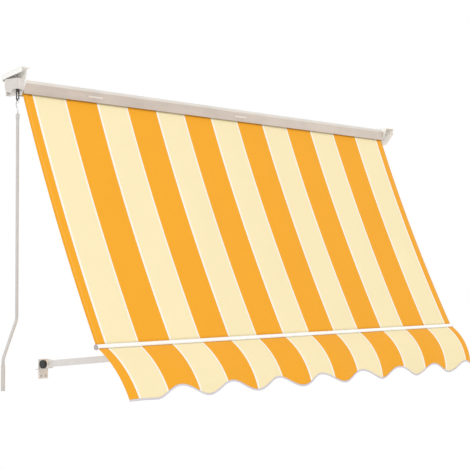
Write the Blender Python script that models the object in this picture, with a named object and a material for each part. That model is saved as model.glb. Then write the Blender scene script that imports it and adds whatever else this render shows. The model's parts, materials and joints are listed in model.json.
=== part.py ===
"""Drop-arm fabric awning: a hood with a cloth roller and a worm gear, a sloping striped canopy,
a front bar with a scalloped valance, two hinged arms on wall brackets, and a hanging crank.

Metres, +Z up, the wall is the plane y = 0 and the awning stands out from it towards -Y.
The origin is the middle of the hood's back face.
"""
import math

import bmesh
import bpy
from mathutils import Matrix, Vector

for old in list(bpy.data.objects):
    bpy.data.objects.remove(old, do_unlink=True)

MM = 0.001
GAP = 0.3 * MM            # left between pieces that touch
RUNNING = 0.3 * MM        # radial clearance of a pin in its bore

# cloth
FABRIC_WIDTH = 2400 * MM
CLOTH = 1.0 * MM
CANOPY_SAG = 16 * MM
CANOPY_ROWS = 14
VALANCE_LENGTH = 234 * MM       # mean of lobes and notches, measured along the cloth
SCALLOP_HEIGHT = 22 * MM        # half the way from notch to lobe
SCALLOP_PITCH = 294 * MM
FIRST_LOBE = 141 * MM           # from the left edge of the cloth
VALANCE_TOP_ANGLE = 60          # degrees from straight down, outwards
VALANCE_FOOT_LEFT = 26          # the cloth hangs a little twisted
VALANCE_FOOT_RIGHT = -5
VALANCE_RIPPLE = 4 * MM
VALANCE_ROWS = 6
VALANCE_STEPS = 96
BINDING_WIDTH = 7 * MM
BINDING_THICKNESS = 2.2 * MM

# hood
HOOD_DEPTH = 80 * MM
HOOD_HEIGHT = 56 * MM
HOOD_WALL = 1.8 * MM
HOOD_BEVEL_DEPTH = 16 * MM
HOOD_BEVEL_HEIGHT = 14 * MM
HOOD_LIP = 4 * MM
END_PLAY = 4.2 * MM             # from the cloth's edge to the hood's end
CLIP_LENGTH = 80 * MM
CLIP_HEIGHT = 9 * MM
CLIP_THICKNESS = 1.6 * MM
CLIP_POSITIONS = {"hood_clip_left": -832 * MM, "hood_clip_right": 65 * MM}

# end brackets
BRACKET_WIDTH = 42 * MM
BRACKET_WALL = 4 * MM
BRACKET_LOW_WIDTH = 23 * MM     # of the wall plate below its shoulder
BRACKET_SHOULDER = 20 * MM      # above the hood's middle
BRACKET_FOOT = 34 * MM          # below the hood's middle
BRACKET_HEAD = 46 * MM          # above the hood's middle
FLANGE_REACH = 118 * MM
FLANGE_TILT = 11                # degrees, rising outwards
FLANGE_RIM = 20 * MM            # bent down along the left flange's outer edge
RIM_WALL = 3 * MM
RIM_INSET = 0.5 * MM            # of the rim and the gusset from the flange's outer edge
RIGHT_HEAD = 34 * MM            # the right bracket's height above the hood's middle
RIGHT_FOOT = 60 * MM
GUSSET_NOSE = 3 * MM            # above the hood's middle, at the flange's end
GUSSET_TIP_REACH = 70 * MM
GUSSET_TIP_DROP = 50 * MM
CHEEK_REACH = 98 * MM
CHEEK_NOSE = 30 * MM
SCREW_R = 2.5 * MM
SCREW_HEAD_R = 5 * MM
SCREW_HEAD = 3 * MM
SCREW_STUB = 3.9 * MM           # under the head; the rest of the shank would be in the wall
BRACKET_SCREW_HIGH = 28 * MM
BRACKET_SCREW_LOW = 24 * MM
RIGHT_SCREW_HIGH = 18 * MM
RIGHT_SCREW_LOW = 44 * MM

# roller
ROLLER_DEPTH = 42 * MM          # its axis in front of the wall
ROLLER_R = 14 * MM
ROLLER_WALL = 1.2 * MM
WOUND_CLOTH = 1.2 * MM
PLUG_LENGTH = 30 * MM
PLUG_FLANGE = 3 * MM
JOURNAL_R = 8 * MM
SQUARE = 10 * MM
IDLE_PIN_R = 5 * MM
BUSH_WALL = 1.7 * MM
BUSH_FLANGE = 1.5 * MM
BUSH_FLANGE_R = 10 * MM

# worm gear
WHEEL_TEETH = 22
WORM_STARTS = 2
WHEEL_PITCH_R = 22 * MM
WORM_PITCH_R = 9.5 * MM
ADDENDUM = 1.7 * MM
DEDENDUM = 2.1 * MM
TOOTH_SHARE = 0.40              # thickness on the pitch line, as a share of the pitch
TOOTH_FLANK = 0.09              # run of each flank from the pitch line, as a share of the pitch
WHEEL_FACE = 8 * MM
WORM_HALF_LENGTH = 11 * MM
WORM_SHAFT_R = 5 * MM
WORM_TOP_R = 4 * MM
WORM_BUSH_FLANGE_R = 8 * MM
GEAR_X = 24 * MM                # worm axis, outwards from the bracket's inner face
HOUSING_WALL = 2 * MM
HOUSING_WIDTH = 33.7 * MM
GEAR_CLEARANCE = 1.2 * MM
GEAR_COVER = 2 * MM

# crank
EYE_WIRE_R = 2.5 * MM
EYE_HALF_WIDTH = 5.5 * MM
EYE_LENGTH = 36 * MM            # between the middles of its top and bottom wires
EYE_COLLAR_R = 6.5 * MM
EYE_COLLAR = 8 * MM
HOOK_WIRE_R = 2.5 * MM
HOOK_DROP = 50 * MM
FERRULE_R = 7.5 * MM
FERRULE_LENGTH = 21 * MM
FERRULE_TOP = 4 * MM
CRANK_R = 6 * MM
CRANK_SHAFT = 780 * MM
CRANK_OFFSET = 80 * MM
CRANK_SLANT_DROP = 147 * MM
CRANK_HANDLE = 117 * MM
CRANK_BEND_R = 45 * MM
CRANK_HEADING = 192             # degrees about +Z from +X: outwards past the cloth and a little forwards
GRIP_WALL = 1.7 * MM
GRIP_LENGTH = 84 * MM
END_CAP_LENGTH = 13 * MM

# front bar
BAR_REACH = 488 * MM            # its axis in front of the wall
BAR_DROP = 983 * MM             # its axis below the hood's middle
BAR_R = 10.5 * MM
BAR_WALL = 1.4 * MM
BAR_OVERHANG = 3 * MM
KEDER_R = 2 * MM
KEDER_POCKET_R = 2.4 * MM
KEDER_DEPTH = 3.6 * MM
KEDER_MOUTH = 2.4 * MM
BAR_CAP = 3 * MM
BAR_CAP_SPIGOT_R = 2 * MM
BAR_CAP_SPIGOT = 10 * MM

# arms
ARM_INSET = 164 * MM            # from the cloth's edge to the middle of the arm
ARM_PIVOT_DEPTH = 32 * MM
ARM_RISE = 47.8 * MM            # from the wall pivot up to the pin at the arm's tip
ARM_DROP = 42.5 * MM            # from the bar's axis to the pin at the arm's tip
ARM_HEIGHT = 26 * MM
ARM_WIDTH = 22 * MM
ARM_WALL = 2 * MM
ARM_TUBE_START = 15 * MM
ARM_TUBE_END = 19 * MM
SHANK = 40 * MM
HUB_R = 14 * MM
HUB_LENGTH = 30 * MM
BOLT_R = 5 * MM
BOLT_HEAD_R = 9 * MM
BOLT_HEAD = 6 * MM
NUT_R = 8.5 * MM
NUT = 6 * MM
CAP_R = 17 * MM
CAP_LENGTH = 12 * MM
CAP_WALL = 2 * MM
ARM_PLATE_WIDTH = 48 * MM
ARM_PLATE_ABOVE = 18 * MM
ARM_PLATE_BELOW = 59 * MM
ARM_PLATE = 4 * MM
ARM_CHEEK = 4 * MM
TAB_LENGTH = 14 * MM
TAB_DEPTH = 10 * MM
TAB_THICKNESS = 3 * MM
TAB_BELOW = 19 * MM
LUG_WIDTH = 12 * MM
LUG_R = 9 * MM
EAR = 3 * MM
TIP_PIN_R = 3 * MM
TIP_PIN_HEAD_R = 5.5 * MM
TIP_PIN_HEAD = 2.5 * MM
HOLDER_WALL = 4 * MM

# worked out from the sizes above
HOOD_HALF = FABRIC_WIDTH / 2 + END_PLAY
CHEEK_IN = HOOD_HALF + GAP
CHEEK_OUT = CHEEK_IN + BRACKET_WALL
ROLLER_Y = -ROLLER_DEPTH
ROLL_R = ROLLER_R + GAP + WOUND_CLOTH
WORM_X = -(CHEEK_IN + GEAR_X)
WORM_Y = ROLLER_Y - WHEEL_PITCH_R - WORM_PITCH_R
TOOTH_PITCH = 2 * math.pi * WHEEL_PITCH_R / WHEEL_TEETH
WORM_LEAD = WORM_STARTS * TOOTH_PITCH
BAR_Y = -BAR_REACH
BAR_Z = -BAR_DROP
TIP_Z = BAR_Z - ARM_DROP
ARM_Y = -ARM_PIVOT_DEPTH
ARM_LENGTH = math.hypot(ARM_Y - BAR_Y, ARM_RISE)
ARM_ANGLE = math.atan2(ARM_RISE, ARM_Y - BAR_Y)
ARM_Z = TIP_Z - ARM_RISE
ARM_X = FABRIC_WIDTH / 2 - ARM_INSET


def material(name, colour, roughness, metallic=0.0):
    """A Principled material with one colour."""
    made = bpy.data.materials.new(name)
    made.use_nodes = True
    shader = made.node_tree.nodes["Principled BSDF"]
    shader.inputs["Base Color"].default_value = (*colour, 1.0)
    shader.inputs["Roughness"].default_value = roughness
    shader.inputs["Metallic"].default_value = metallic
    return made


WHITE_PAINT = material("white_paint", (0.82, 0.80, 0.76), 0.35)
HOOD_PAINT = material("hood_paint", (0.62, 0.55, 0.47), 0.4)
PLASTIC = material("pale_plastic", (0.78, 0.76, 0.72), 0.5)
BLACK = material("black_plastic", (0.02, 0.02, 0.022), 0.45)
ORANGE_CLOTH = material("orange_cloth", (0.90, 0.43, 0.03), 0.85)
BINDING_CLOTH = material("binding_cloth", (0.66, 0.63, 0.68), 0.8)
ZINC = material("zinc", (0.60, 0.61, 0.62), 0.35, 1.0)
STEEL = material("steel", (0.50, 0.50, 0.50), 0.3, 1.0)
GREY_CAP = material("grey_cap", (0.48, 0.44, 0.45), 0.5)
ROD_PAINT = material("rod_paint", (0.64, 0.58, 0.54), 0.4)


def add(name, bm, look, pivot=(0, 0, 0), turn=0.0, smooth=True, guide=False):
    """Make an object from a bmesh in world coordinates, or in its own if it has a turn.

    Its origin is put at pivot; a guide is only a tool for another piece's Boolean."""
    bmesh.ops.recalc_face_normals(bm, faces=bm.faces)
    mesh = bpy.data.meshes.new(name)
    if not turn:
        bm.transform(Matrix.Translation(-Vector(pivot)))
    bm.to_mesh(mesh)
    bm.free()
    if smooth:
        mesh.shade_smooth()
        mesh.set_sharp_from_angle(angle=math.radians(35))
    mesh.materials.append(look)
    made = bpy.data.objects.new(name, mesh)
    bpy.context.scene.collection.objects.link(made)
    made.location = pivot
    made.rotation_euler = (turn, 0, 0)
    if guide:
        made.hide_render = True
        made.display_type = "WIRE"
    return made


def boolean(piece, name, bm, operation, turn=0.0, pivot=(0, 0, 0)):
    """Cut or join one shape with a piece, by a live EXACT Boolean."""
    tool = add(f"{piece.name}_{name}", bm, STEEL, pivot=pivot, turn=turn, guide=True)
    step = piece.modifiers.new(name, "BOOLEAN")
    step.operation = operation
    step.solver = "EXACT"
    step.object = tool


def box(x0, x1, y0, y1, z0, z1):
    """A box between two corners."""
    bm = bmesh.new()
    bmesh.ops.create_cube(bm, size=1.0)
    size = Vector((x1 - x0, y1 - y0, z1 - z0))
    middle = Vector((x0 + x1, y0 + y1, z0 + z1)) / 2
    bm.transform(Matrix.Translation(middle) @ Matrix.Diagonal((*size, 1.0)))
    return bm


def arc(y, z, radius, start, end, steps):
    """Points on an arc in the YZ plane; 0 degrees is +Y and 90 is +Z."""
    turns = [math.radians(start + (end - start) * i / steps) for i in range(steps + 1)]
    return [(y + radius * math.cos(t), z + radius * math.sin(t)) for t in turns]


def slab(outline, x0, x1):
    """A YZ outline extruded along X."""
    bm = bmesh.new()
    face = bm.faces.new([bm.verts.new((x0, y, z)) for y, z in outline])
    moved = bmesh.ops.extrude_face_region(bm, geom=[face])["geom"]
    bmesh.ops.translate(bm, vec=(x1 - x0, 0, 0),
                        verts=[v for v in moved if isinstance(v, bmesh.types.BMVert)])
    return bm


def hollow(outer, inner, x0, x1):
    """A tube along X between two YZ outlines with as many points each."""
    bm = bmesh.new()
    rings = [[bm.verts.new((x, y, z)) for y, z in line]
             for x, line in ((x0, outer), (x1, outer), (x1, inner), (x0, inner))]
    count = len(outer)
    for a, b in zip(rings, rings[1:] + rings[:1]):
        for i in range(count):
            j = (i + 1) % count
            bm.faces.new((a[i], a[j], b[j], b[i]))
    return bm


def turned(profile, centre, axis="X", steps=24):
    """A solid of revolution: profile holds (position along the axis, radius) round a closed section.

    Points of radius 0 lie on the axis; centre gives the other two coordinates."""
    bm = bmesh.new()
    points = [bm.verts.new((along, radius, 0)) for along, radius in profile]
    edges = [bm.edges.new((a, b)) for a, b in zip(points, points[1:])]
    if profile[0][1] > 0:
        edges.append(bm.edges.new((points[-1], points[0])))
    bmesh.ops.spin(bm, geom=points + edges, cent=(0, 0, 0), axis=(1, 0, 0),
                   angle=2 * math.pi, steps=steps, use_merge=True, use_duplicate=False)
    bmesh.ops.remove_doubles(bm, verts=bm.verts, dist=0.01 * MM)
    if axis == "X":
        bm.transform(Matrix.Translation((0, *centre)))
    elif axis == "Y":
        bm.transform(Matrix.Translation((centre[0], 0, centre[1])) @ Matrix.Rotation(math.pi / 2, 4, "Z"))
    else:
        bm.transform(Matrix.Translation((*centre, 0)) @ Matrix.Rotation(-math.pi / 2, 4, "Y"))
    return bm


def rod(start, end, radius, centre, axis="X", steps=24):
    """A plain cylinder along an axis."""
    return turned([(start, 0), (start, radius), (end, radius), (end, 0)], centre, axis, steps)


def ring(start, end, inner, outer, centre, axis="X", steps=24):
    """A plain bush along an axis."""
    return turned([(start, inner), (start, outer), (end, outer), (end, inner)], centre, axis, steps)


def rounded_path(corners, radius, steps):
    """Points along straight runs joined by arcs of one radius."""
    path = [Vector(corners[0])]
    for before, corner, after in zip(corners, corners[1:], corners[2:]):
        corner = Vector(corner)
        back = (Vector(before) - corner).normalized()
        ahead = (Vector(after) - corner).normalized()
        half = back.angle(ahead) / 2
        middle = corner + (back + ahead).normalized() * radius / math.sin(half)
        first = corner + back * radius / math.tan(half) - middle
        last = corner + ahead * radius / math.tan(half) - middle
        turn = first.angle(last)
        for i in range(steps + 1):
            t = i / steps
            mix = first * math.sin((1 - t) * turn) + last * math.sin(t * turn)
            path.append(middle + mix / math.sin(turn))
    path.append(Vector(corners[-1]))
    return path


def wire(path, radius, closed=False, steps=10):
    """A round wire or tube along a path, from rings square to it."""
    points = [Vector(place) for place in path]
    last = len(points) - 1
    bm = bmesh.new()
    rings = []
    side = None
    for i, point in enumerate(points):
        if closed:
            ahead = points[(i + 1) % len(points)] - points[i - 1]
        else:
            ahead = points[min(i + 1, last)] - points[max(i - 1, 0)]
        ahead.normalize()
        side = side or ahead.orthogonal()
        side = (side - ahead * side.dot(ahead)).normalized()
        other = ahead.cross(side)
        turns = [2 * math.pi * j / steps for j in range(steps)]
        rings.append([bm.verts.new(point + radius * (side * math.cos(t) + other * math.sin(t))) for t in turns])
    pairs = list(zip(rings, rings[1:]))
    if closed:
        pairs.append((rings[-1], rings[0]))
    else:
        bm.faces.new(rings[0])
        bm.faces.new(rings[-1])
    for a, b in pairs:
        for j in range(steps):
            k = (j + 1) % steps
            bm.faces.new((a[j], a[k], b[k], b[j]))
    return bm


# Hood: an extruded profile, open below, with a bevelled front top edge and a folded lower lip
HOOD_TOP = HOOD_HEIGHT / 2
HOOD_FOOT = -HOOD_HEIGHT / 2
HOOD_OUTSIDE = [(0, HOOD_FOOT), (0, HOOD_TOP), (HOOD_BEVEL_DEPTH - HOOD_DEPTH, HOOD_TOP),
                (-HOOD_DEPTH, HOOD_TOP - HOOD_BEVEL_HEIGHT), (-HOOD_DEPTH, HOOD_FOOT),
                (HOOD_LIP - HOOD_DEPTH, HOOD_FOOT)]


def thickened(line, wall):
    """A closed outline: the line, and the same line moved to its right by the wall."""
    normals = []
    for (y0, z0), (y1, z1) in zip(line, line[1:]):
        length = math.hypot(y1 - y0, z1 - z0)
        normals.append(((z0 - z1) / length, (y1 - y0) / length))
    inside = []
    for i, (y, z) in enumerate(line):
        a = normals[max(i - 1, 0)]
        b = normals[min(i, len(normals) - 1)]
        share = wall / (1 + a[0] * b[0] + a[1] * b[1])
        inside.append((y + (a[0] + b[0]) * share, z + (a[1] + b[1]) * share))
    return line + inside[::-1]


add("hood", slab(thickened(HOOD_OUTSIDE, HOOD_WALL), -HOOD_HALF, HOOD_HALF), HOOD_PAINT, smooth=False)
for name, place in CLIP_POSITIONS.items():
    face_y = -HOOD_DEPTH - GAP
    clip_z = (HOOD_FOOT + HOOD_TOP - HOOD_BEVEL_HEIGHT) / 2
    clip = add(name, box(place - CLIP_LENGTH / 2, place + CLIP_LENGTH / 2, face_y - CLIP_THICKNESS, face_y,
                         clip_z - CLIP_HEIGHT / 2, clip_z + CLIP_HEIGHT / 2), PLASTIC, smooth=False)
    soften = clip.modifiers.new("edges", "BEVEL")
    soften.width = CLIP_THICKNESS / 3
    soften.segments = 1

# End brackets: a wall plate, a flange above the hood, and a cheek that closes the hood's end. The left
# one's flange rises outwards and has a rim; the right one has a gusset at its outer side
def angle_outline(head, rise, foot):
    """Side view of the wall plate and its flange."""
    return [(0, -foot), (0, head), (-FLANGE_REACH, head + FLANGE_REACH * rise),
            (-FLANGE_REACH, head + FLANGE_REACH * rise - BRACKET_WALL),
            (-BRACKET_WALL, head + BRACKET_WALL * rise - BRACKET_WALL), (-BRACKET_WALL, -foot)]


def cheek_outline(top, rise):
    """Side view of the plate at the hood's end."""
    return [(-BRACKET_WALL / 2, -BRACKET_FOOT), (-BRACKET_WALL / 2, top),
            (-CHEEK_REACH, top + CHEEK_REACH * rise),
            (-CHEEK_REACH, min(CHEEK_NOSE, top - BRACKET_WALL)), (-HOOD_DEPTH - 2 * BRACKET_WALL, 0),
            (-HOOD_DEPTH + 3 * BRACKET_WALL, -BRACKET_FOOT)]


FLANGE_RISE = math.tan(math.radians(FLANGE_TILT))
RIM_REACH = FLANGE_REACH - BRACKET_WALL / 2
LEFT_TOP = BRACKET_HEAD - BRACKET_WALL / 2
RIGHT_TOP = RIGHT_HEAD - BRACKET_WALL / 2
RIM_OUTLINE = [(-BRACKET_WALL / 2, BRACKET_HEAD - FLANGE_RIM), (-BRACKET_WALL / 2, LEFT_TOP),
               (-RIM_REACH, LEFT_TOP + RIM_REACH * FLANGE_RISE),
               (-RIM_REACH, BRACKET_HEAD - FLANGE_RIM + RIM_REACH * FLANGE_RISE)]
GUSSET_OUTLINE = [(-BRACKET_WALL / 2, BRACKET_WALL - RIGHT_FOOT), (-BRACKET_WALL / 2, RIGHT_TOP),
                  (-RIM_REACH, RIGHT_TOP), (-RIM_REACH, GUSSET_NOSE), (-GUSSET_TIP_REACH, -GUSSET_TIP_DROP)]
SCREW_PLACES = {"left": {"high": (BRACKET_WIDTH, BRACKET_SCREW_HIGH),
                         "low": (BRACKET_LOW_WIDTH, -BRACKET_SCREW_LOW)},
                "right": {"high": (BRACKET_WIDTH, RIGHT_SCREW_HIGH),
                          "low": (BRACKET_WIDTH, -RIGHT_SCREW_LOW)}}
for side, label, angle, cheek, outer_plate in (
        (-1, "left", angle_outline(BRACKET_HEAD, FLANGE_RISE, BRACKET_FOOT),
         cheek_outline(LEFT_TOP, FLANGE_RISE),
         RIM_OUTLINE),
        (1, "right", angle_outline(RIGHT_HEAD, 0, RIGHT_FOOT), cheek_outline(RIGHT_TOP, 0),
         GUSSET_OUTLINE)):
    inner, outer = side * CHEEK_IN, side * (CHEEK_IN + BRACKET_WIDTH)
    bracket = add(f"bracket_{label}", slab(angle, inner, outer), WHITE_PAINT, smooth=False)
    boolean(bracket, "cheek", slab(cheek, inner, side * CHEEK_OUT), "UNION")
    rim = outer - side * RIM_INSET
    boolean(bracket, "outer_plate", slab(outer_plate, rim - side * RIM_WALL, rim), "UNION")
    if side < 0:
        boolean(bracket, "notch", box(outer - BRACKET_WALL, inner - BRACKET_LOW_WIDTH, -2 * BRACKET_WALL,
                                      BRACKET_WALL, -BRACKET_FOOT - BRACKET_WALL, BRACKET_SHOULDER), "DIFFERENCE")
    hole_r = JOURNAL_R + RUNNING if side < 0 else IDLE_PIN_R + RUNNING + BUSH_WALL + GAP
    reach = sorted((inner - side * BRACKET_WALL, side * CHEEK_OUT + side * BRACKET_WALL))
    boolean(bracket, "axle_hole", rod(*reach, hole_r, (ROLLER_Y, 0)), "DIFFERENCE")
    for row, (width, height) in SCREW_PLACES[label].items():
        screw_x = side * (CHEEK_OUT + (width - BRACKET_WALL) / 2)
        boolean(bracket, f"screw_hole_{row}",
                rod(-2 * BRACKET_WALL, BRACKET_WALL, SCREW_R + GAP, (screw_x, height), "Y",
                    12), "DIFFERENCE")


def screw(name, x, z, under_head):
    """A pan-head wall screw, ending just short of the plate's back."""
    add(name, turned([(under_head - SCREW_HEAD, 0), (under_head - SCREW_HEAD, SCREW_HEAD_R * 0.7),
                      (under_head - SCREW_HEAD / 2, SCREW_HEAD_R), (under_head, SCREW_HEAD_R),
                      (under_head, SCREW_R), (under_head + SCREW_STUB, SCREW_R),
                      (under_head + SCREW_STUB, 0)], (x, z), "Y", 12), ZINC)


for side, label in ((-1, "left"), (1, "right")):
    for row, (width, height) in SCREW_PLACES[label].items():
        screw_x = side * (CHEEK_OUT + (width - BRACKET_WALL) / 2)
        screw(f"bracket_screw_{label}_{row}", screw_x, height, -BRACKET_WALL - GAP)

# Roller: tube, wound cloth, a driven plug on the left and an idle plug with its bush on the right
AXLE = (ROLLER_Y, 0)
ROLLER_PIVOT = (0, ROLLER_Y, 0)
TUBE_HALF = FABRIC_WIDTH / 2
add("roller_tube", ring(-TUBE_HALF, TUBE_HALF, ROLLER_R - ROLLER_WALL, ROLLER_R, AXLE), ZINC, ROLLER_PIVOT)
add("wound_cloth", ring(-TUBE_HALF, TUBE_HALF, ROLLER_R + GAP, ROLL_R, AXLE, steps=32),
    ORANGE_CLOTH, ROLLER_PIVOT)
SPIGOT_R = ROLLER_R - ROLLER_WALL - GAP
FLANGE_START = TUBE_HALF + GAP
WHEEL_IN = -WORM_X - WHEEL_FACE / 2
plug = add("roller_plug_left",
           turned([(PLUG_LENGTH - TUBE_HALF, 0), (PLUG_LENGTH - TUBE_HALF, SPIGOT_R),
                   (-FLANGE_START, SPIGOT_R),
                   (-FLANGE_START, ROLLER_R), (-FLANGE_START - PLUG_FLANGE, ROLLER_R),
                   (-FLANGE_START - PLUG_FLANGE, JOURNAL_R), (-WHEEL_IN + GAP, JOURNAL_R),
                   (-WHEEL_IN + GAP, 0)], AXLE), PLASTIC, ROLLER_PIVOT)
SQUARE_END = WHEEL_IN + WHEEL_FACE + GAP
boolean(plug, "square", box(-SQUARE_END, -WHEEL_IN + JOURNAL_R, ROLLER_Y - SQUARE / 2,
                            ROLLER_Y + SQUARE / 2,
                            -SQUARE / 2, SQUARE / 2), "UNION")
IDLE_END = CHEEK_OUT + BUSH_FLANGE
add("roller_plug_right",
    turned([(TUBE_HALF - PLUG_LENGTH, 0), (TUBE_HALF - PLUG_LENGTH, SPIGOT_R), (FLANGE_START, SPIGOT_R),
            (FLANGE_START, ROLLER_R), (FLANGE_START + PLUG_FLANGE, ROLLER_R),
            (FLANGE_START + PLUG_FLANGE, IDLE_PIN_R), (IDLE_END, IDLE_PIN_R), (IDLE_END, 0)], AXLE),
    PLASTIC, ROLLER_PIVOT)
BUSH_IN_R = IDLE_PIN_R + RUNNING
add("idle_bush",
    turned([(CHEEK_IN, BUSH_IN_R), (CHEEK_IN, BUSH_IN_R + BUSH_WALL),
            (CHEEK_OUT + GAP, BUSH_IN_R + BUSH_WALL),
            (CHEEK_OUT + GAP, BUSH_FLANGE_R), (CHEEK_OUT + GAP + BUSH_FLANGE, BUSH_FLANGE_R),
            (CHEEK_OUT + GAP + BUSH_FLANGE, BUSH_IN_R)], AXLE), BLACK)

# Worm wheel on the square end of the left plug; its teeth lean with the worm's thread
WHEEL_TIP_R = WHEEL_PITCH_R + ADDENDUM
WHEEL_ROOT_R = WHEEL_PITCH_R - DEDENDUM
THREAD_SLOPE = WORM_LEAD / (2 * math.pi * WORM_PITCH_R)
LEAN = THREAD_SLOPE * WHEEL_FACE / 2 / WHEEL_PITCH_R


def gear_outline(turn):
    """The wheel's toothed outline, with one tooth facing the worm (-Y) at turn 0."""
    half_tip = TOOTH_SHARE / 2 - TOOTH_FLANK
    half_root = TOOTH_SHARE / 2 + TOOTH_FLANK
    points = []
    for tooth in range(WHEEL_TEETH):
        for share, radius in ((-half_root, WHEEL_ROOT_R), (-half_tip, WHEEL_TIP_R),
                              (half_tip, WHEEL_TIP_R), (half_root, WHEEL_ROOT_R)):
            t = math.pi + turn + 2 * math.pi * (tooth + share) / WHEEL_TEETH
            points.append((ROLLER_Y + radius * math.cos(t), radius * math.sin(t)))
    return points


def leaning_wheel():
    """The wheel's blank with its teeth, swept from one face to the other."""
    bm = bmesh.new()
    faces = []
    for x, turn in ((WORM_X - WHEEL_FACE / 2, LEAN), (WORM_X + WHEEL_FACE / 2, -LEAN)):
        faces.append([bm.verts.new((x, y, z)) for y, z in gear_outline(turn)])
    for ring_points in faces:
        bm.faces.new(ring_points)
    count = len(faces[0])
    for i in range(count):
        j = (i + 1) % count
        bm.faces.new((faces[0][i], faces[0][j], faces[1][j], faces[1][i]))
    return bm


wheel = add("worm_wheel", leaning_wheel(), ZINC, ROLLER_PIVOT, smooth=False)
hole = SQUARE / 2 + GAP
boolean(wheel, "square_hole", box(WORM_X - WHEEL_FACE, WORM_X + WHEEL_FACE, ROLLER_Y - hole,
                                  ROLLER_Y + hole,
                                  -hole, hole), "DIFFERENCE")

# Gear housing: a pan against the left cheek, stepped up in front for the worm's eye, with a flat cover
HOUSING_IN = CHEEK_OUT + GAP
HOUSING_OUT = HOUSING_IN + HOUSING_WIDTH
HOUSING_R = WHEEL_TIP_R + GEAR_CLEARANCE + HOUSING_WALL
HOUSING_TOP = HOUSING_R
WORM_TIP_R = WORM_PITCH_R + ADDENDUM
WORM_CHAMBER = WORM_TIP_R + GEAR_CLEARANCE
HOUSING_FRONT = WORM_Y - WORM_CHAMBER - HOUSING_WALL
WORM_FLOOR = -WORM_HALF_LENGTH - GEAR_CLEARANCE
HOUSING_STEP = WORM_FLOOR - HOUSING_WALL
STEP_ANGLE = math.degrees(math.asin(-HOUSING_STEP / HOUSING_R))
HOUSING_OUTLINE = [(ROLLER_Y + HOUSING_R, HOUSING_TOP), (HOUSING_FRONT, HOUSING_TOP),
                   (HOUSING_FRONT, HOUSING_STEP)] + arc(ROLLER_Y, 0, HOUSING_R, 180 + STEP_ANGLE, 360, 12)
housing = add("gear_housing", slab(HOUSING_OUTLINE, -HOUSING_OUT, -HOUSING_IN), PLASTIC)
PAN_FLOOR = -(HOUSING_IN + HOUSING_WALL)
PAN_MOUTH = -(HOUSING_OUT + HOUSING_WALL)
boolean(housing, "wheel_room", rod(PAN_MOUTH, PAN_FLOOR, HOUSING_R - HOUSING_WALL, AXLE, steps=32),
        "DIFFERENCE")
boolean(housing, "worm_room", box(PAN_MOUTH, PAN_FLOOR, WORM_Y - WORM_CHAMBER, WORM_Y + WORM_CHAMBER,
                                  WORM_FLOOR, -WORM_FLOOR), "DIFFERENCE")
SLOT = WORM_TOP_R + RUNNING
boolean(housing, "shaft_slot", box(PAN_MOUTH, PAN_FLOOR, WORM_Y - SLOT, WORM_Y + SLOT,
                                   0, HOUSING_TOP - HOUSING_WALL), "DIFFERENCE")
boolean(housing, "journal_hole", rod(PAN_FLOOR - HOUSING_WALL, -HOUSING_IN + HOUSING_WALL,
                                     JOURNAL_R + RUNNING,
                                     AXLE), "DIFFERENCE")
WORM_BUSH_R = WORM_SHAFT_R + RUNNING + BUSH_WALL
boolean(housing, "bush_hole", rod(HOUSING_STEP - HOUSING_WALL, WORM_FLOOR + HOUSING_WALL, WORM_BUSH_R + GAP,
                                  (WORM_X, WORM_Y), "Z"), "DIFFERENCE")
add("gear_cover", slab(HOUSING_OUTLINE, -HOUSING_OUT - GAP - GEAR_COVER, -HOUSING_OUT - GAP), PLASTIC)
add("worm_bush",
    turned([(HOUSING_STEP - GAP - BUSH_FLANGE, WORM_SHAFT_R + RUNNING),
            (HOUSING_STEP - GAP - BUSH_FLANGE, WORM_BUSH_FLANGE_R), (HOUSING_STEP - GAP,
                                                                     WORM_BUSH_FLANGE_R),
            (HOUSING_STEP - GAP, WORM_BUSH_R), (WORM_FLOOR, WORM_BUSH_R),
            (WORM_FLOOR, WORM_SHAFT_R + RUNNING)], (WORM_X, WORM_Y), "Z"), BLACK)

# Worm: a left-hand thread of two starts on an upright shaft
WORM_PIVOT = (WORM_X, WORM_Y, 0)
WORM_ROOT_R = WORM_PITCH_R - DEDENDUM
WORM_TOP = HOUSING_TOP - HOUSING_WALL - GAP
WORM_TAIL = HOUSING_STEP - GAP - BUSH_FLANGE - GAP


def thread_radius(height, turn):
    """Radius of the thread at a height and an angle about the shaft."""
    place = (height + WORM_LEAD * turn / (2 * math.pi)) / TOOTH_PITCH + 0.5
    off = abs(place - math.floor(place) - 0.5)
    half_tip = TOOTH_SHARE / 2 - TOOTH_FLANK
    rise = (half_tip + 2 * TOOTH_FLANK - off) / (2 * TOOTH_FLANK)
    return WORM_ROOT_R + (WORM_TIP_R - WORM_ROOT_R) * min(max(rise, 0), 1)


def worm_body(columns=28, rows_per_pitch=7):
    """Shaft and thread as one skin of rings."""
    rows = round(2 * WORM_HALF_LENGTH / TOOTH_PITCH * rows_per_pitch)
    heights = [-WORM_HALF_LENGTH + 2 * WORM_HALF_LENGTH * i / rows for i in range(rows + 1)]
    angles = [2 * math.pi * i / columns for i in range(columns)]
    levels = [(WORM_TAIL, [WORM_SHAFT_R] * columns), (-WORM_HALF_LENGTH, [WORM_SHAFT_R] * columns)]
    levels += [(z, [thread_radius(z, t) for t in angles]) for z in heights]
    levels += [(WORM_HALF_LENGTH, [WORM_TOP_R] * columns), (WORM_TOP, [WORM_TOP_R] * columns)]
    bm = bmesh.new()
    rings = [[bm.verts.new((WORM_X + r * math.cos(t), WORM_Y + r * math.sin(t), z))
              for r, t in zip(radii, angles)] for z, radii in levels]
    for a, b in zip(rings, rings[1:]):
        for i in range(columns):
            j = (i + 1) % columns
            bm.faces.new((a[i], a[j], b[j], b[i]))
    bm.faces.new(rings[0])
    bm.faces.new(rings[-1])
    return bm


add("worm", worm_body(), STEEL, WORM_PIVOT)

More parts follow.
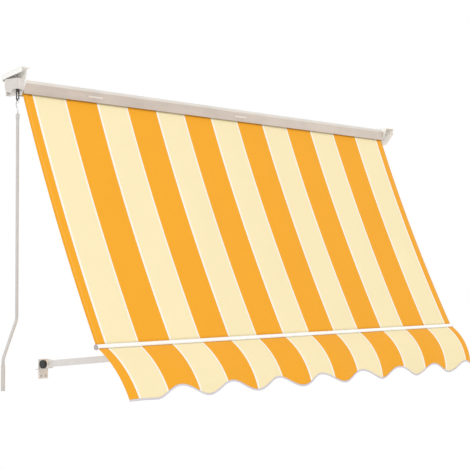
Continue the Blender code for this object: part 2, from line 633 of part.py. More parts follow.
# Eye on the worm's lower end, that the crank hooks into
EYE_TOP = WORM_TAIL - GAP
EYE_HIGH = EYE_TOP - EYE_COLLAR / 2 - EYE_HALF_WIDTH
EYE_LOW = EYE_TOP - EYE_COLLAR / 2 - EYE_LENGTH + EYE_HALF_WIDTH
LOOP = [(WORM_X + y, WORM_Y, z) for y, z in
        arc(0, EYE_HIGH, EYE_HALF_WIDTH, 0, 180, 8) + arc(0, EYE_LOW, EYE_HALF_WIDTH, 180, 360, 8)]
eye = add("crank_eye", rod(EYE_TOP - EYE_COLLAR, EYE_TOP, EYE_COLLAR_R, (WORM_X, WORM_Y), "Z"), BLACK,
          WORM_PIVOT)
boolean(eye, "loop", wire(LOOP, EYE_WIRE_R, closed=True), "UNION")

# Crank: hook, ferrule, bent rod, turning grip and end cap
HOOK_Z = EYE_LOW - EYE_HALF_WIDTH
HOOK_R = EYE_WIRE_R + HOOK_WIRE_R + RUNNING
HOOK_PIVOT = (WORM_X, WORM_Y, HOOK_Z)
HOOK_TIP_DROP = 12 * MM
HOOK_BELLY = 9 * MM
FERRULE_Z = HOOK_Z - HOOK_DROP


def hook_path(steps=10):
    """From the tip in front, over the eye's lower wire, down behind it and back under the eye."""
    points = [(-HOOK_R, -HOOK_TIP_DROP), (-HOOK_R, -HOOK_TIP_DROP / 2)]
    points += arc(0, 0, HOOK_R, 180, 0, steps)
    fall = HOOK_DROP - 2 * FERRULE_TOP
    for i in range(1, steps + 1):
        t = i / steps
        belly = HOOK_BELLY * math.sin(math.pi * t) ** 2
        points.append((HOOK_R * (1 + math.cos(math.pi * t)) / 2 + belly * (1 - t), -fall * t))
    points.append((0, -HOOK_DROP - FERRULE_TOP))
    return [(WORM_X, WORM_Y + y, HOOK_Z + z) for y, z in points]


add("crank_hook", wire(hook_path(), HOOK_WIRE_R), STEEL, HOOK_PIVOT)
ROD_TOP = FERRULE_Z - FERRULE_TOP - GAP
add("crank_ferrule",
    turned([(FERRULE_Z, HOOK_WIRE_R + GAP), (FERRULE_Z, FERRULE_R * 0.7),
            (FERRULE_Z - FERRULE_TOP, FERRULE_R),
            (FERRULE_Z - FERRULE_LENGTH, FERRULE_R), (FERRULE_Z - FERRULE_LENGTH, CRANK_R + GAP),
            (FERRULE_Z - FERRULE_TOP, CRANK_R + GAP), (FERRULE_Z - FERRULE_TOP, HOOK_WIRE_R + GAP)],
           (WORM_X, WORM_Y), "Z"), ROD_PAINT, HOOK_PIVOT)
heading = math.radians(CRANK_HEADING)
HANDLE_X = WORM_X + CRANK_OFFSET * math.cos(heading)
HANDLE_Y = WORM_Y + CRANK_OFFSET * math.sin(heading)
BEND_Z = ROD_TOP - CRANK_SHAFT
HANDLE_Z = BEND_Z - CRANK_SLANT_DROP
ROD_END = HANDLE_Z - CRANK_HANDLE
ROD_CORNERS = [(WORM_X, WORM_Y, ROD_TOP), (WORM_X, WORM_Y, BEND_Z), (HANDLE_X, HANDLE_Y, HANDLE_Z),
               (HANDLE_X, HANDLE_Y, ROD_END)]
add("crank_rod", wire(rounded_path(ROD_CORNERS, CRANK_BEND_R, 6), CRANK_R, steps=16), ROD_PAINT, HOOK_PIVOT)
HANDLE_AXIS = (HANDLE_X, HANDLE_Y)
CAP_TOP = ROD_END - GAP - CAP_WALL + END_CAP_LENGTH
GRIP_R = CRANK_R + RUNNING + GRIP_WALL
GRIP_LOW = CAP_TOP + GAP
add("crank_grip",
    turned([(GRIP_LOW, CRANK_R + RUNNING), (GRIP_LOW, GRIP_R), (GRIP_LOW + GRIP_LENGTH - GRIP_WALL, GRIP_R),
            (GRIP_LOW + GRIP_LENGTH, CRANK_R + RUNNING + GRIP_WALL / 2),
            (GRIP_LOW + GRIP_LENGTH, CRANK_R + RUNNING)], HANDLE_AXIS, "Z"),
    PLASTIC, (HANDLE_X, HANDLE_Y, GRIP_LOW + GRIP_LENGTH / 2))
CAP_FOOT = ROD_END - GAP - CAP_WALL
add("crank_end_cap",
    turned([(CAP_FOOT, 0), (CAP_FOOT, GRIP_R - CAP_WALL / 2), (CAP_FOOT + CAP_WALL / 2, GRIP_R),
            (CAP_TOP, GRIP_R),
            (CAP_TOP, CRANK_R + GAP), (ROD_END - GAP, CRANK_R + GAP), (ROD_END - GAP,
                                                                       0)], HANDLE_AXIS, "Z"),
    PLASTIC, HOOK_PIVOT)

# Canopy: one sheet from the roller to the front bar, with the sag of its own weight
POCKET_DEPTH = BAR_R - KEDER_DEPTH
KEDER_REST = POCKET_DEPTH + KEDER_R + GAP


def roller_tangent():
    """Where the cloth leaves the roll, and its direction there, on the way to the bar's axis."""
    y, z = BAR_Y - ROLLER_Y, BAR_Z
    span = math.hypot(y, z)
    radius = ROLL_R + GAP + CLOTH / 2
    tilt = math.atan2(z, y) - math.asin(radius / span)
    down = Vector((math.cos(tilt), math.sin(tilt)))
    out = Vector((down.y, -down.x))
    return Vector((ROLLER_Y, 0)) + out * radius, down


CLOTH_TOP, CLOTH_DOWN = roller_tangent()
if CLOTH_TOP.x > ROLLER_Y:
    raise ValueError("the cloth has to leave the front of the roll")
CANOPY_RUN = (Vector((BAR_Y, BAR_Z)) - CLOTH_TOP).length
SAG_SLOPE = math.atan(4 * CANOPY_SAG / CANOPY_RUN)
CANOPY_ANGLE = math.atan2(-CLOTH_DOWN.y, -CLOTH_DOWN.x) - SAG_SLOPE
CANOPY_GROOVE = math.degrees(CANOPY_ANGLE)


def sheet(name, rows, columns, look, pivot=(0, 0, 0)):
    """A closed sheet of cloth between its front and back faces.

    rows(column) gives the middle line as (position, normal) pairs for an x position."""
    bm = bmesh.new()
    front, back = [], []
    for x in columns:
        line = rows(x)
        front.append([bm.verts.new((x, *(p + n * CLOTH / 2))) for p, n in line])
        back.append([bm.verts.new((x, *(p - n * CLOTH / 2))) for p, n in line])
    last_column, last_row = len(columns) - 1, len(front[0]) - 1
    for i in range(last_column):
        for j in range(last_row):
            for side in (front, back):
                bm.faces.new((side[i][j], side[i + 1][j], side[i + 1][j + 1], side[i][j + 1]))
        for j in (0, last_row):
            bm.faces.new((front[i][j], front[i + 1][j], back[i + 1][j], back[i][j]))
    for i in (0, last_column):
        for j in range(last_row):
            bm.faces.new((front[i][j], front[i][j + 1], back[i][j + 1], back[i][j]))
    return add(name, bm, look, pivot)


def canopy_rows(x):
    """The canopy's section: a straight run with a shallow sag, the same at every x."""
    end = Vector((BAR_Y, BAR_Z)) + KEDER_REST * Vector((math.cos(CANOPY_ANGLE), math.sin(CANOPY_ANGLE)))
    run = end - CLOTH_TOP
    normal = Vector((run.y, -run.x)).normalized()
    line = []
    for j in range(CANOPY_ROWS + 1):
        t = j / CANOPY_ROWS
        line.append((CLOTH_TOP + run * t - normal * CANOPY_SAG * 4 * t * (1 - t), normal))
    return line


EDGE = FABRIC_WIDTH / 2
sheet("canopy", canopy_rows, [-EDGE, 0, EDGE], ORANGE_CLOTH)

# Front bar: a round profile with two keder grooves, one for the canopy and one for the valance
BAR_PIVOT = (0, BAR_Y, TIP_Z)
BAR_HALF = EDGE + BAR_OVERHANG
VALANCE_GROOVE = 270 - VALANCE_TOP_ANGLE


def groove(angle, inner):
    """Points of one groove from one lip to the other; inner gives the wall behind it."""
    pocket_r = KEDER_POCKET_R + (BAR_WALL if inner else 0)
    rim = BAR_R - (BAR_WALL if inner else 0)
    mouth = KEDER_MOUTH / 2 + (BAR_WALL if inner else 0)
    spread = math.degrees(math.asin(min(mouth / pocket_r, 0.95)))
    points = [(rim, -mouth)]
    for i in range(7):
        t = math.radians(-spread - (360 - 2 * spread) * i / 6)
        points.append((POCKET_DEPTH + pocket_r * math.cos(t), pocket_r * math.sin(t)))
    points.append((rim, mouth))
    turn = math.radians(angle)
    return [(BAR_Y + u * math.cos(turn) - v * math.sin(turn),
             BAR_Z + u * math.sin(turn) + v * math.cos(turn))
            for u, v in points]


def bar_outline(inner):
    """Round the bar: a groove, an arc, the other groove, and the arc back."""
    rim = BAR_R - (BAR_WALL if inner else 0)
    lip = math.degrees(math.asin((KEDER_MOUTH / 2 + BAR_WALL) / BAR_R)) + 4
    first, second = CANOPY_GROOVE, VALANCE_GROOVE
    return (groove(first, inner) + arc(BAR_Y, BAR_Z, rim, first + lip, second - lip, 10)
            + groove(second, inner) + arc(BAR_Y, BAR_Z, rim, second + lip, first + 360 - lip, 12))


add("front_bar", hollow(bar_outline(False), bar_outline(True), -BAR_HALF, BAR_HALF), WHITE_PAINT, BAR_PIVOT)
for name, angle in (("canopy_keder", CANOPY_GROOVE), ("valance_keder", VALANCE_GROOVE)):
    turn = math.radians(angle)
    middle = (BAR_Y + POCKET_DEPTH * math.cos(turn), BAR_Z + POCKET_DEPTH * math.sin(turn))
    add(name, rod(-EDGE, EDGE, KEDER_R, middle, steps=10), PLASTIC, BAR_PIVOT)
for side, name in ((-1, "bar_cap_left"), (1, "bar_cap_right")):
    start = side * (BAR_HALF + GAP)
    face = start + side * BAR_CAP
    tail = start - side * BAR_CAP_SPIGOT
    add(name, turned([(tail, 0), (tail, BAR_CAP_SPIGOT_R), (start, BAR_CAP_SPIGOT_R), (start, BAR_R),
                      (face - side * BAR_CAP / 3, BAR_R), (face, BAR_R - BAR_CAP / 3), (face, 0)],
                     (BAR_Y, BAR_Z)), GREY_CAP, BAR_PIVOT)

# Valance: leaves its groove outwards, curves down, and ends in scallops under a grey binding
def scallop(x):
    """Length of the valance at x, along the cloth; the first lobe runs flat to the left edge."""
    past_lobe = max(x + EDGE - FIRST_LOBE, 0)
    return VALANCE_LENGTH + SCALLOP_HEIGHT * math.cos(2 * math.pi * past_lobe / SCALLOP_PITCH)


def valance_point(x, along):
    """Middle of the cloth and its outward normal, this far along from the bar's axis."""
    whole = VALANCE_LENGTH + SCALLOP_HEIGHT
    foot = VALANCE_FOOT_LEFT + (VALANCE_FOOT_RIGHT - VALANCE_FOOT_LEFT) * (x + EDGE) / FABRIC_WIDTH
    bend = math.radians(foot - VALANCE_TOP_ANGLE) / whole
    start = math.radians(VALANCE_TOP_ANGLE)
    angle = start + bend * along
    place = Vector(((math.cos(angle) - math.cos(start)) / bend,
                    -(math.sin(angle) - math.sin(start)) / bend))
    normal = Vector((-math.cos(angle), math.sin(angle)))
    free = max(along - BAR_R, 0) / whole
    ripple = VALANCE_RIPPLE * free * math.sin(4 * math.pi * (x + EDGE) / SCALLOP_PITCH / 1.7)
    return Vector((BAR_Y, BAR_Z)) + place + normal * ripple, normal


def valance_rows(x):
    """From the keder to just above the binding."""
    end = scallop(x) - BINDING_WIDTH - GAP
    steps = [KEDER_REST + (end - KEDER_REST) * j / VALANCE_ROWS for j in range(VALANCE_ROWS + 1)]
    return [valance_point(x, along) for along in steps]


VALANCE_COLUMNS = [-EDGE + FABRIC_WIDTH * i / VALANCE_STEPS for i in range(VALANCE_STEPS + 1)]
sheet("valance", valance_rows, VALANCE_COLUMNS, ORANGE_CLOTH, BAR_PIVOT)


def binding_body():
    """A flat tape along the scalloped edge."""
    bm = bmesh.new()
    rings = []
    for x in VALANCE_COLUMNS:
        corners = []
        for along, side in ((scallop(x) - BINDING_WIDTH, 1), (scallop(x), 1), (scallop(x), -1),
                            (scallop(x) - BINDING_WIDTH, -1)):
            place, normal = valance_point(x, along)
            corners.append(bm.verts.new((x, *(place + normal * side * BINDING_THICKNESS / 2))))
        rings.append(corners)
    for a, b in zip(rings, rings[1:]):
        for i in range(4):
            j = (i + 1) % 4
            bm.faces.new((a[i], a[j], b[j], b[i]))
    bm.faces.new(rings[0])
    bm.faces.new(rings[-1])
    return bm


add("valance_binding", binding_body(), BINDING_CLOTH, BAR_PIVOT)

# Arms, the same on both sides: drawn along -Y from the pivot, then turned up to their angle
INNER_HALF = ARM_WIDTH / 2 - ARM_WALL
SHANK_HALF = INNER_HALF - GAP
SHANK_HIGH = ARM_HEIGHT / 2 - ARM_WALL - GAP
TUBE_FAR = ARM_LENGTH - ARM_TUBE_END
CHEEK_IN_X = HUB_LENGTH / 2 + GAP
CHEEK_OUT_X = CHEEK_IN_X + ARM_CHEEK
EAR_IN = LUG_WIDTH / 2 + RUNNING
EAR_OUT = EAR_IN + EAR
for side, label in ((-1, "left"), (1, "right")):
    x = side * ARM_X
    pivot = (x, ARM_Y, ARM_Z)
    tilt = -ARM_ANGLE
    half_w, half_h = ARM_WIDTH / 2, ARM_HEIGHT / 2

    # square tube
    outer = [(-half_w, -half_h), (half_w, -half_h), (half_w, half_h), (-half_w, half_h)]
    tube = add(f"arm_tube_{label}", box(-half_w, half_w, -TUBE_FAR, -ARM_TUBE_START, -half_h, half_h),
               WHITE_PAINT, pivot, tilt, smooth=False)
    boolean(tube, "hollow", box(-INNER_HALF, INNER_HALF, -TUBE_FAR - ARM_WALL, ARM_WALL - ARM_TUBE_START,
                                ARM_WALL - half_h, half_h - ARM_WALL), "DIFFERENCE", tilt, pivot)

    # knuckle: hub on the wall bracket's bolt, with a shank in the tube
    knuckle = add(f"arm_knuckle_{label}", rod(-HUB_LENGTH / 2, HUB_LENGTH / 2, HUB_R, (0, 0)),
                  PLASTIC, pivot, tilt)
    boolean(knuckle, "shank", box(-SHANK_HALF, SHANK_HALF, -ARM_TUBE_START - SHANK, -HUB_R / 2,
                                  -SHANK_HIGH, SHANK_HIGH), "UNION", tilt, pivot)
    boolean(knuckle, "bore", rod(-HUB_LENGTH, HUB_LENGTH, BOLT_R + RUNNING, (0, 0)), "DIFFERENCE", tilt,
            pivot)

    # fork: shank in the tube's far end, and two ears on the tip pin
    collar = -TUBE_FAR - GAP
    ears = arc(-ARM_LENGTH, 0, LUG_R, 90, 270, 10) + [(collar, -LUG_R), (collar, LUG_R)]
    fork = add(f"arm_fork_{label}", slab(ears, -EAR_OUT, EAR_OUT), PLASTIC, pivot, tilt)
    boolean(fork, "slot", box(-EAR_IN, EAR_IN, -ARM_LENGTH - 2 * LUG_R, collar - EAR, -2 * LUG_R,
                              2 * LUG_R),
            "DIFFERENCE", tilt, pivot)
    boolean(fork, "shank", box(-SHANK_HALF, SHANK_HALF, collar - EAR / 2, SHANK - TUBE_FAR,
                               -SHANK_HIGH, SHANK_HIGH), "UNION", tilt, pivot)
    boolean(fork, "bore", rod(-ARM_WIDTH, ARM_WIDTH, TIP_PIN_R + RUNNING, (-ARM_LENGTH, 0)), "DIFFERENCE",
            tilt, pivot)

    # wall bracket: plate, two cheeks round the hub, and a side tab
    plate = add(f"arm_bracket_{label}", box(x - ARM_PLATE_WIDTH / 2, x + ARM_PLATE_WIDTH / 2, -ARM_PLATE, 0,
                                            ARM_Z - ARM_PLATE_BELOW, ARM_Z + ARM_PLATE_ABOVE), WHITE_PAINT)
    cheek = (arc(ARM_Y, ARM_Z, CAP_R, 110, 270, 12)
             + [(-ARM_PLATE / 2, ARM_Z - CAP_R - ARM_CHEEK), (-ARM_PLATE / 2, ARM_Z + CAP_R)])
    for hand in (-1, 1):
        boolean(plate, f"cheek_{hand + 1}", slab(cheek, x + hand * CHEEK_IN_X, x + hand * CHEEK_OUT_X),
                "UNION")
    tab_in = x + side * (ARM_PLATE_WIDTH / 2 - ARM_PLATE)
    tab_out = x + side * (ARM_PLATE_WIDTH / 2 + TAB_LENGTH)
    boolean(plate, "tab", box(min(tab_in, tab_out), max(tab_in, tab_out), -TAB_DEPTH, -ARM_PLATE / 2,
                              ARM_Z - TAB_BELOW - TAB_THICKNESS, ARM_Z - TAB_BELOW), "UNION")
    boolean(plate, "bore", rod(x - ARM_PLATE_WIDTH, x + ARM_PLATE_WIDTH, BOLT_R + GAP, (ARM_Y, ARM_Z)),
            "DIFFERENCE")
    low_screw = ARM_Z - ARM_PLATE_BELOW + 2 * SCREW_HEAD_R
    screw_step = ARM_PLATE_WIDTH / 4
    spots = [(x - screw_step, low_screw), (x + screw_step, low_screw)]
    for number, (sx, sz) in enumerate(spots):
        boolean(plate, f"screw_hole_{number}", rod(-2 * ARM_PLATE, ARM_PLATE, SCREW_R + GAP, (sx, sz), "Y",
                                                   12),
                "DIFFERENCE")
        screw(f"arm_screw_{label}_{number}", sx, sz, -ARM_PLATE - GAP)

    # pivot bolt with its nut under a black cap on the outer side
    head, face = x - side * (CHEEK_OUT_X + GAP), x + side * (CHEEK_OUT_X + GAP)
    bolt_end = face + side * (NUT + 2 * GAP)
    add(f"arm_bolt_{label}",
        turned([(head - side * BOLT_HEAD, 0), (head - side * BOLT_HEAD, BOLT_HEAD_R), (head, BOLT_HEAD_R),
                (head, BOLT_R), (bolt_end, BOLT_R), (bolt_end, 0)], (ARM_Y, ARM_Z)), ZINC)
    nut = add(f"arm_nut_{label}", rod(*sorted((face, face + side * NUT)), NUT_R, (ARM_Y, ARM_Z), steps=6),
              ZINC, smooth=False)
    boolean(nut, "thread_hole", rod(x - ARM_PLATE_WIDTH, x + ARM_PLATE_WIDTH, BOLT_R + GAP, (ARM_Y, ARM_Z)),
            "DIFFERENCE")
    add(f"pivot_cap_{label}",
        turned([(face, CAP_R - CAP_WALL), (face, CAP_R), (face + side * (CAP_LENGTH - CAP_WALL / 2), CAP_R),
                (face + side * CAP_LENGTH, CAP_R - CAP_WALL / 2), (face + side * CAP_LENGTH, 0),
                (face + side * (CAP_LENGTH - CAP_WALL), 0),
                (face + side * (CAP_LENGTH - CAP_WALL), CAP_R - CAP_WALL)], (ARM_Y, ARM_Z)), BLACK)

    # bar holder: hugs the back of the bar, and its lug hangs in the fork
    saddle = BAR_R + GAP
    holder_outline = (arc(BAR_Y, BAR_Z, saddle, -100, 40, 10) + arc(BAR_Y, BAR_Z, saddle + HOLDER_WALL, 40,
                                                                    -25, 6)
                      + arc(BAR_Y, TIP_Z, LUG_R, 0, -180, 10)
                      + [(BAR_Y - LUG_R / 2, BAR_Z - saddle - HOLDER_WALL)])
    holder = add(f"bar_holder_{label}", slab(holder_outline, x - LUG_WIDTH / 2, x + LUG_WIDTH / 2),
                 WHITE_PAINT, BAR_PIVOT)
    boolean(holder, "bore", rod(x - ARM_WIDTH, x + ARM_WIDTH, TIP_PIN_R + GAP, (BAR_Y, TIP_Z), steps=16),
            "DIFFERENCE")
    pin_half = EAR_OUT + RUNNING
    add(f"tip_pin_{label}",
        turned([(x - pin_half - TIP_PIN_HEAD, 0), (x - pin_half - TIP_PIN_HEAD, TIP_PIN_HEAD_R),
                (x - pin_half, TIP_PIN_HEAD_R), (x - pin_half, TIP_PIN_R), (x + pin_half, TIP_PIN_R),
                (x + pin_half, TIP_PIN_HEAD_R), (x + pin_half + TIP_PIN_HEAD, TIP_PIN_HEAD_R),
                (x + pin_half + TIP_PIN_HEAD, 0)], (BAR_Y, TIP_Z), steps=16), ZINC, BAR_PIVOT)
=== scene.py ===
"""Looks of the drop-arm fabric awning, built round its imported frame."""
import json
import math

import bmesh
import bpy
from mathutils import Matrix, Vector

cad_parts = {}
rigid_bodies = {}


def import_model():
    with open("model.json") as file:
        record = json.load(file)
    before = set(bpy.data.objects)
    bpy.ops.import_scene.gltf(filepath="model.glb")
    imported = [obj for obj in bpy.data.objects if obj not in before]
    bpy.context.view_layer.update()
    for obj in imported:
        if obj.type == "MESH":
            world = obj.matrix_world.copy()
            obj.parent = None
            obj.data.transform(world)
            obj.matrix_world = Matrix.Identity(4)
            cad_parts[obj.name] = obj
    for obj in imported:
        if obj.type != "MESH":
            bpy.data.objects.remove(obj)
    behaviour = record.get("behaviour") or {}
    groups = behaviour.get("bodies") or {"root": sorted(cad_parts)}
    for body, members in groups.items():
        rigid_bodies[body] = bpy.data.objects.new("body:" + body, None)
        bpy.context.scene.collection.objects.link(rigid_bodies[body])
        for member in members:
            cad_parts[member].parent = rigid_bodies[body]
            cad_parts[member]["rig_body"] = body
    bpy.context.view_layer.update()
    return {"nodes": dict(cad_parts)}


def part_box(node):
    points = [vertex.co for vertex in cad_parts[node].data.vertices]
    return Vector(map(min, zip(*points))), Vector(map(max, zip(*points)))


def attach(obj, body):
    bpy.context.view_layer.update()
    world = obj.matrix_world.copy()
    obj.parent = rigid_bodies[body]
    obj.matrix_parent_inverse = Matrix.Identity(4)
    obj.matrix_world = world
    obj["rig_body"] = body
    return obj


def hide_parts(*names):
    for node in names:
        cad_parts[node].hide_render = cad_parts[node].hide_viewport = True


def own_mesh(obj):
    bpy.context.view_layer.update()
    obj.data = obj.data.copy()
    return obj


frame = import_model()

# The view
# The camera stands low, in front of and to the left of the awning, and looks
# along it towards the far right end, with a long lens and no tilt of the frame.
CAMERA_AT = (-4.430, -3.964, -0.703)
CAMERA_YAW = math.radians(48.93)
CAMERA_PITCH = math.radians(1.52)
CAMERA_LENS = 100.0

camera_data = bpy.data.cameras.new("photo_camera")
camera_data.lens = CAMERA_LENS
camera_data.sensor_width = 36.0
camera_data.clip_start = 0.05
camera_data.clip_end = 200.0
camera = bpy.data.objects.new("photo_camera", camera_data)
camera.location = CAMERA_AT
camera.rotation_euler = (math.pi / 2 + CAMERA_PITCH, 0.0, -CAMERA_YAW)
bpy.context.scene.collection.objects.link(camera)
bpy.context.scene.camera = camera
bpy.context.scene.view_settings.view_transform = "Standard"


# Light and floor
# A pale room: an even white sky, a broad lamp above the camera's left that
# models the hood and the arms, three weaker lamps, and a floor well below.
SKY_STRENGTH = 0.67
KEY_WATTS = 116.0
SIDE_WATTS = 38.0
LEFT_WATTS = 30.0
BACK_WATTS = 45.0
FLOOR_HEIGHT = -2.1
FLOOR_SIZE = 40.0
SHADOW_REACH = 1.8
PLAIN_FROM = 3.4
FLOOR_WHITE = (0.93, 0.93, 0.92, 1.0)


def shown_white(tree, shaded):
    """The shaded colour for light and shadow, and plain white for the eye, mirrors and glass."""
    path = tree.nodes.new("ShaderNodeLightPath")
    seen = tree.nodes.new("ShaderNodeMath")
    seen.operation = "MAXIMUM"
    tree.links.new(path.outputs["Is Camera Ray"], seen.inputs[0])
    tree.links.new(path.outputs["Is Glossy Ray"], seen.inputs[1])
    either = tree.nodes.new("ShaderNodeMath")
    either.operation = "MAXIMUM"
    tree.links.new(seen.outputs[0], either.inputs[0])
    tree.links.new(path.outputs["Is Transmission Ray"], either.inputs[1])
    white = tree.nodes.new("ShaderNodeBackground" if shaded.bl_idname == "ShaderNodeBackground"
                           else "ShaderNodeEmission")
    white.inputs["Color"].default_value = (1.0, 1.0, 1.0, 1.0)
    white.inputs["Strength"].default_value = 1.0
    mix = tree.nodes.new("ShaderNodeMixShader")
    tree.links.new(either.outputs[0], mix.inputs["Fac"])
    tree.links.new(shaded.outputs[0], mix.inputs[1])
    tree.links.new(white.outputs[0], mix.inputs[2])
    return mix, either


world = bpy.data.worlds.new("pale_room")
world.use_nodes = True
bpy.context.scene.world = world
sky = world.node_tree.nodes["Background"]
sky.inputs["Color"].default_value = (1.0, 1.0, 1.0, 1.0)
sky.inputs["Strength"].default_value = SKY_STRENGTH
sky_mix, _ = shown_white(world.node_tree, sky)
world.node_tree.links.new(sky_mix.outputs[0], world.node_tree.nodes["World Output"].inputs["Surface"])


def soft_lamp(name, place, aim, size, watts):
    """A square lamp that faces a point."""
    data = bpy.data.lights.new(name, "AREA")
    data.size = size
    data.energy = watts
    lamp = bpy.data.objects.new(name, data)
    lamp.location = place
    lamp.rotation_euler = (Vector(aim) - Vector(place)).to_track_quat("-Z", "Y").to_euler()
    bpy.context.scene.collection.objects.link(lamp)


soft_lamp("key_lamp", (-3.2, -4.6, 3.0), (0.0, -0.2, -0.5), 3.0, KEY_WATTS)
soft_lamp("side_lamp", (4.2, -2.6, 1.2), (0.2, -0.2, -0.6), 2.4, SIDE_WATTS)
soft_lamp("left_lamp", (-5.4, 0.5, 0.6), (-1.2, -0.2, -0.4), 2.4, LEFT_WATTS)
soft_lamp("back_lamp", (-1.0, 3.6, 1.8), (0.0, 0.0, -0.5), 2.6, BACK_WATTS)

floor_bm = bmesh.new()
bmesh.ops.create_grid(floor_bm, x_segments=1, y_segments=1, size=FLOOR_SIZE / 2)
bmesh.ops.translate(floor_bm, vec=(0, 0, FLOOR_HEIGHT), verts=floor_bm.verts)
floor_mesh = bpy.data.meshes.new("floor")
floor_bm.to_mesh(floor_mesh)
floor_bm.free()
floor = bpy.data.objects.new("floor", floor_mesh)
bpy.context.scene.collection.objects.link(floor)
floor_paint = bpy.data.materials.new("floor_paint")
floor_paint.use_nodes = True
floor_tree = floor_paint.node_tree
floor_shader = floor_tree.nodes["Principled BSDF"]
floor_shader.inputs["Base Color"].default_value = FLOOR_WHITE
floor_shader.inputs["Roughness"].default_value = 0.9
floor_shader.inputs["Specular IOR Level"].default_value = 0.1
floor_mix, floor_seen = shown_white(floor_tree, floor_shader)
# Near the awning the floor shows its shadow, and farther out it is plain white.
# Both distances are from the wall behind the hood's middle, so the floor's depth counts.
far_place = floor_tree.nodes.new("ShaderNodeTexCoord")
far_length = floor_tree.nodes.new("ShaderNodeVectorMath")
far_length.operation = "LENGTH"
floor_tree.links.new(far_place.outputs["Object"], far_length.inputs[0])
far_fade = floor_tree.nodes.new("ShaderNodeMapRange")
far_fade.interpolation_type = "SMOOTHSTEP"
far_fade.inputs["From Min"].default_value = SHADOW_REACH
far_fade.inputs["From Max"].default_value = PLAIN_FROM
floor_tree.links.new(far_length.outputs["Value"], far_fade.inputs["Value"])
far_seen = floor_tree.nodes.new("ShaderNodeMath")
far_seen.operation = "MULTIPLY"
floor_tree.links.new(far_fade.outputs["Result"], far_seen.inputs[0])
floor_tree.links.new(floor_seen.outputs[0], far_seen.inputs[1])
floor_tree.links.new(far_seen.outputs[0], floor_mix.inputs["Fac"])
floor_tree.links.new(floor_mix.outputs[0], floor_tree.nodes["Material Output"].inputs["Surface"])
floor_mesh.materials.append(floor_paint)


# The hood
# An extruded aluminium profile, powder-coated beige, that covers the roller; its paler top is a painted
# highlight.
# It is held between its end brackets and open below.
def linear(*screen):
    """A colour for a shader from a screen colour's red, green and blue of 0 to 255."""
    return tuple(((c / 255 + 0.055) / 1.055) ** 2.4 if c > 10 else c / 255 / 12.92 for c in screen) + (1.0,)


def effect(name, inputs, outputs):
    """An empty shader group with named sockets, each given as (name, type, default)."""
    group = bpy.data.node_groups.new(name, "ShaderNodeTree")
    for title, kind, default in inputs:
        socket = group.interface.new_socket(title, in_out="INPUT", socket_type=kind)
        if default is not None:
            socket.default_value = default
    for title, kind in outputs:
        group.interface.new_socket(title, in_out="OUTPUT", socket_type=kind)
    return group, group.nodes.new("NodeGroupInput"), group.nodes.new("NodeGroupOutput")


def arithmetic(tree, operation, first, second=None):
    """One Math node; each operand is a socket or a number."""
    node = tree.nodes.new("ShaderNodeMath")
    node.operation = operation
    for socket, value in zip(node.inputs, (first, second)):
        if isinstance(value, (int, float)):
            socket.default_value = value
        elif value is not None:
            tree.links.new(value, socket)
    return node.outputs[0]


def cloud(tree, place, scale, detail=3.0, roughness=0.5, stretch=(1, 1, 1)):
    """Noise over a place, optionally drawn out along one direction."""
    mapping = tree.nodes.new("ShaderNodeMapping")
    mapping.inputs["Scale"].default_value = stretch
    tree.links.new(place, mapping.inputs["Vector"])
    noise = tree.nodes.new("ShaderNodeTexNoise")
    noise.inputs["Scale"].default_value = scale
    noise.inputs["Detail"].default_value = detail
    noise.inputs["Roughness"].default_value = roughness
    tree.links.new(mapping.outputs[0], noise.inputs["Vector"])
    return noise.outputs["Fac"]


def spread(tree, value, low, high, to_low=0.0, to_high=1.0):
    """A value mapped from one range to another, and held there."""
    node = tree.nodes.new("ShaderNodeMapRange")
    for title, number in (("From Min", low), ("From Max", high), ("To Min", to_low), ("To Max", to_high)):
        node.inputs[title].default_value = number
    tree.links.new(value, node.inputs["Value"])
    return node.outputs["Result"]


def blended(tree, share, first, second, mode="MIX"):
    """Two colours mixed; each is a socket or a colour."""
    node = tree.nodes.new("ShaderNodeMix")
    node.data_type = "RGBA"
    node.blend_type = mode
    sockets = (node.inputs["Factor"], node.inputs[6], node.inputs[7])
    for socket, value in zip(sockets, (share, first, second)):
        if isinstance(value, (int, float, tuple)):
            socket.default_value = value
        else:
            tree.links.new(value, socket)
    return node.outputs[2]


def powder_coat_effect():
    """Orange peel, faint clouds in the colour, and rubbed patches of the paint."""
    group, given, made = effect(
        "powder_coat",
        [("Place", "NodeSocketVector", None), ("Colour", "NodeSocketColor", (0.8, 0.8, 0.8, 1.0)),
         ("Clouding", "NodeSocketFloat", 0.05), ("Gloss", "NodeSocketFloat", 0.35)],
        [("Colour", "NodeSocketColor"), ("Roughness", "NodeSocketFloat"), ("Height", "NodeSocketFloat")])
    place = given.outputs["Place"]
    clouds = cloud(group, place, 9.0, 4.0, 0.55)
    streaks = cloud(group, place, 30.0, 3.0, 0.6, (0.12, 1.0, 1.0))
    both = arithmetic(group, "ADD", clouds, streaks)
    low = arithmetic(group, "SUBTRACT", 1.0, given.outputs["Clouding"])
    shade = group.nodes.new("ShaderNodeMapRange")
    shade.inputs["From Min"].default_value = 0.7
    shade.inputs["From Max"].default_value = 1.25
    group.links.new(both, shade.inputs["Value"])
    group.links.new(low, shade.inputs["To Min"])
    tone = group.nodes.new("ShaderNodeCombineColor")
    for channel in ("Red", "Green", "Blue"):
        group.links.new(shade.outputs["Result"], tone.inputs[channel])
    toned = blended(group, 1.0, given.outputs["Colour"], tone.outputs[0], "MULTIPLY")
    group.links.new(toned, made.inputs["Colour"])
    rubbed = spread(group, cloud(group, place, 26.0, 5.0, 0.6), 0.35, 0.75, -0.06, 0.1)
    group.links.new(arithmetic(group, "ADD", given.outputs["Gloss"], rubbed), made.inputs["Roughness"])
    group.links.new(cloud(group, place, 900.0, 2.0, 0.4), made.inputs["Height"])
    return group


POWDER_COAT = powder_coat_effect()


def object_place(tree):
    """Coordinates fixed to the piece."""
    return tree.nodes.new("ShaderNodeTexCoord").outputs["Object"]


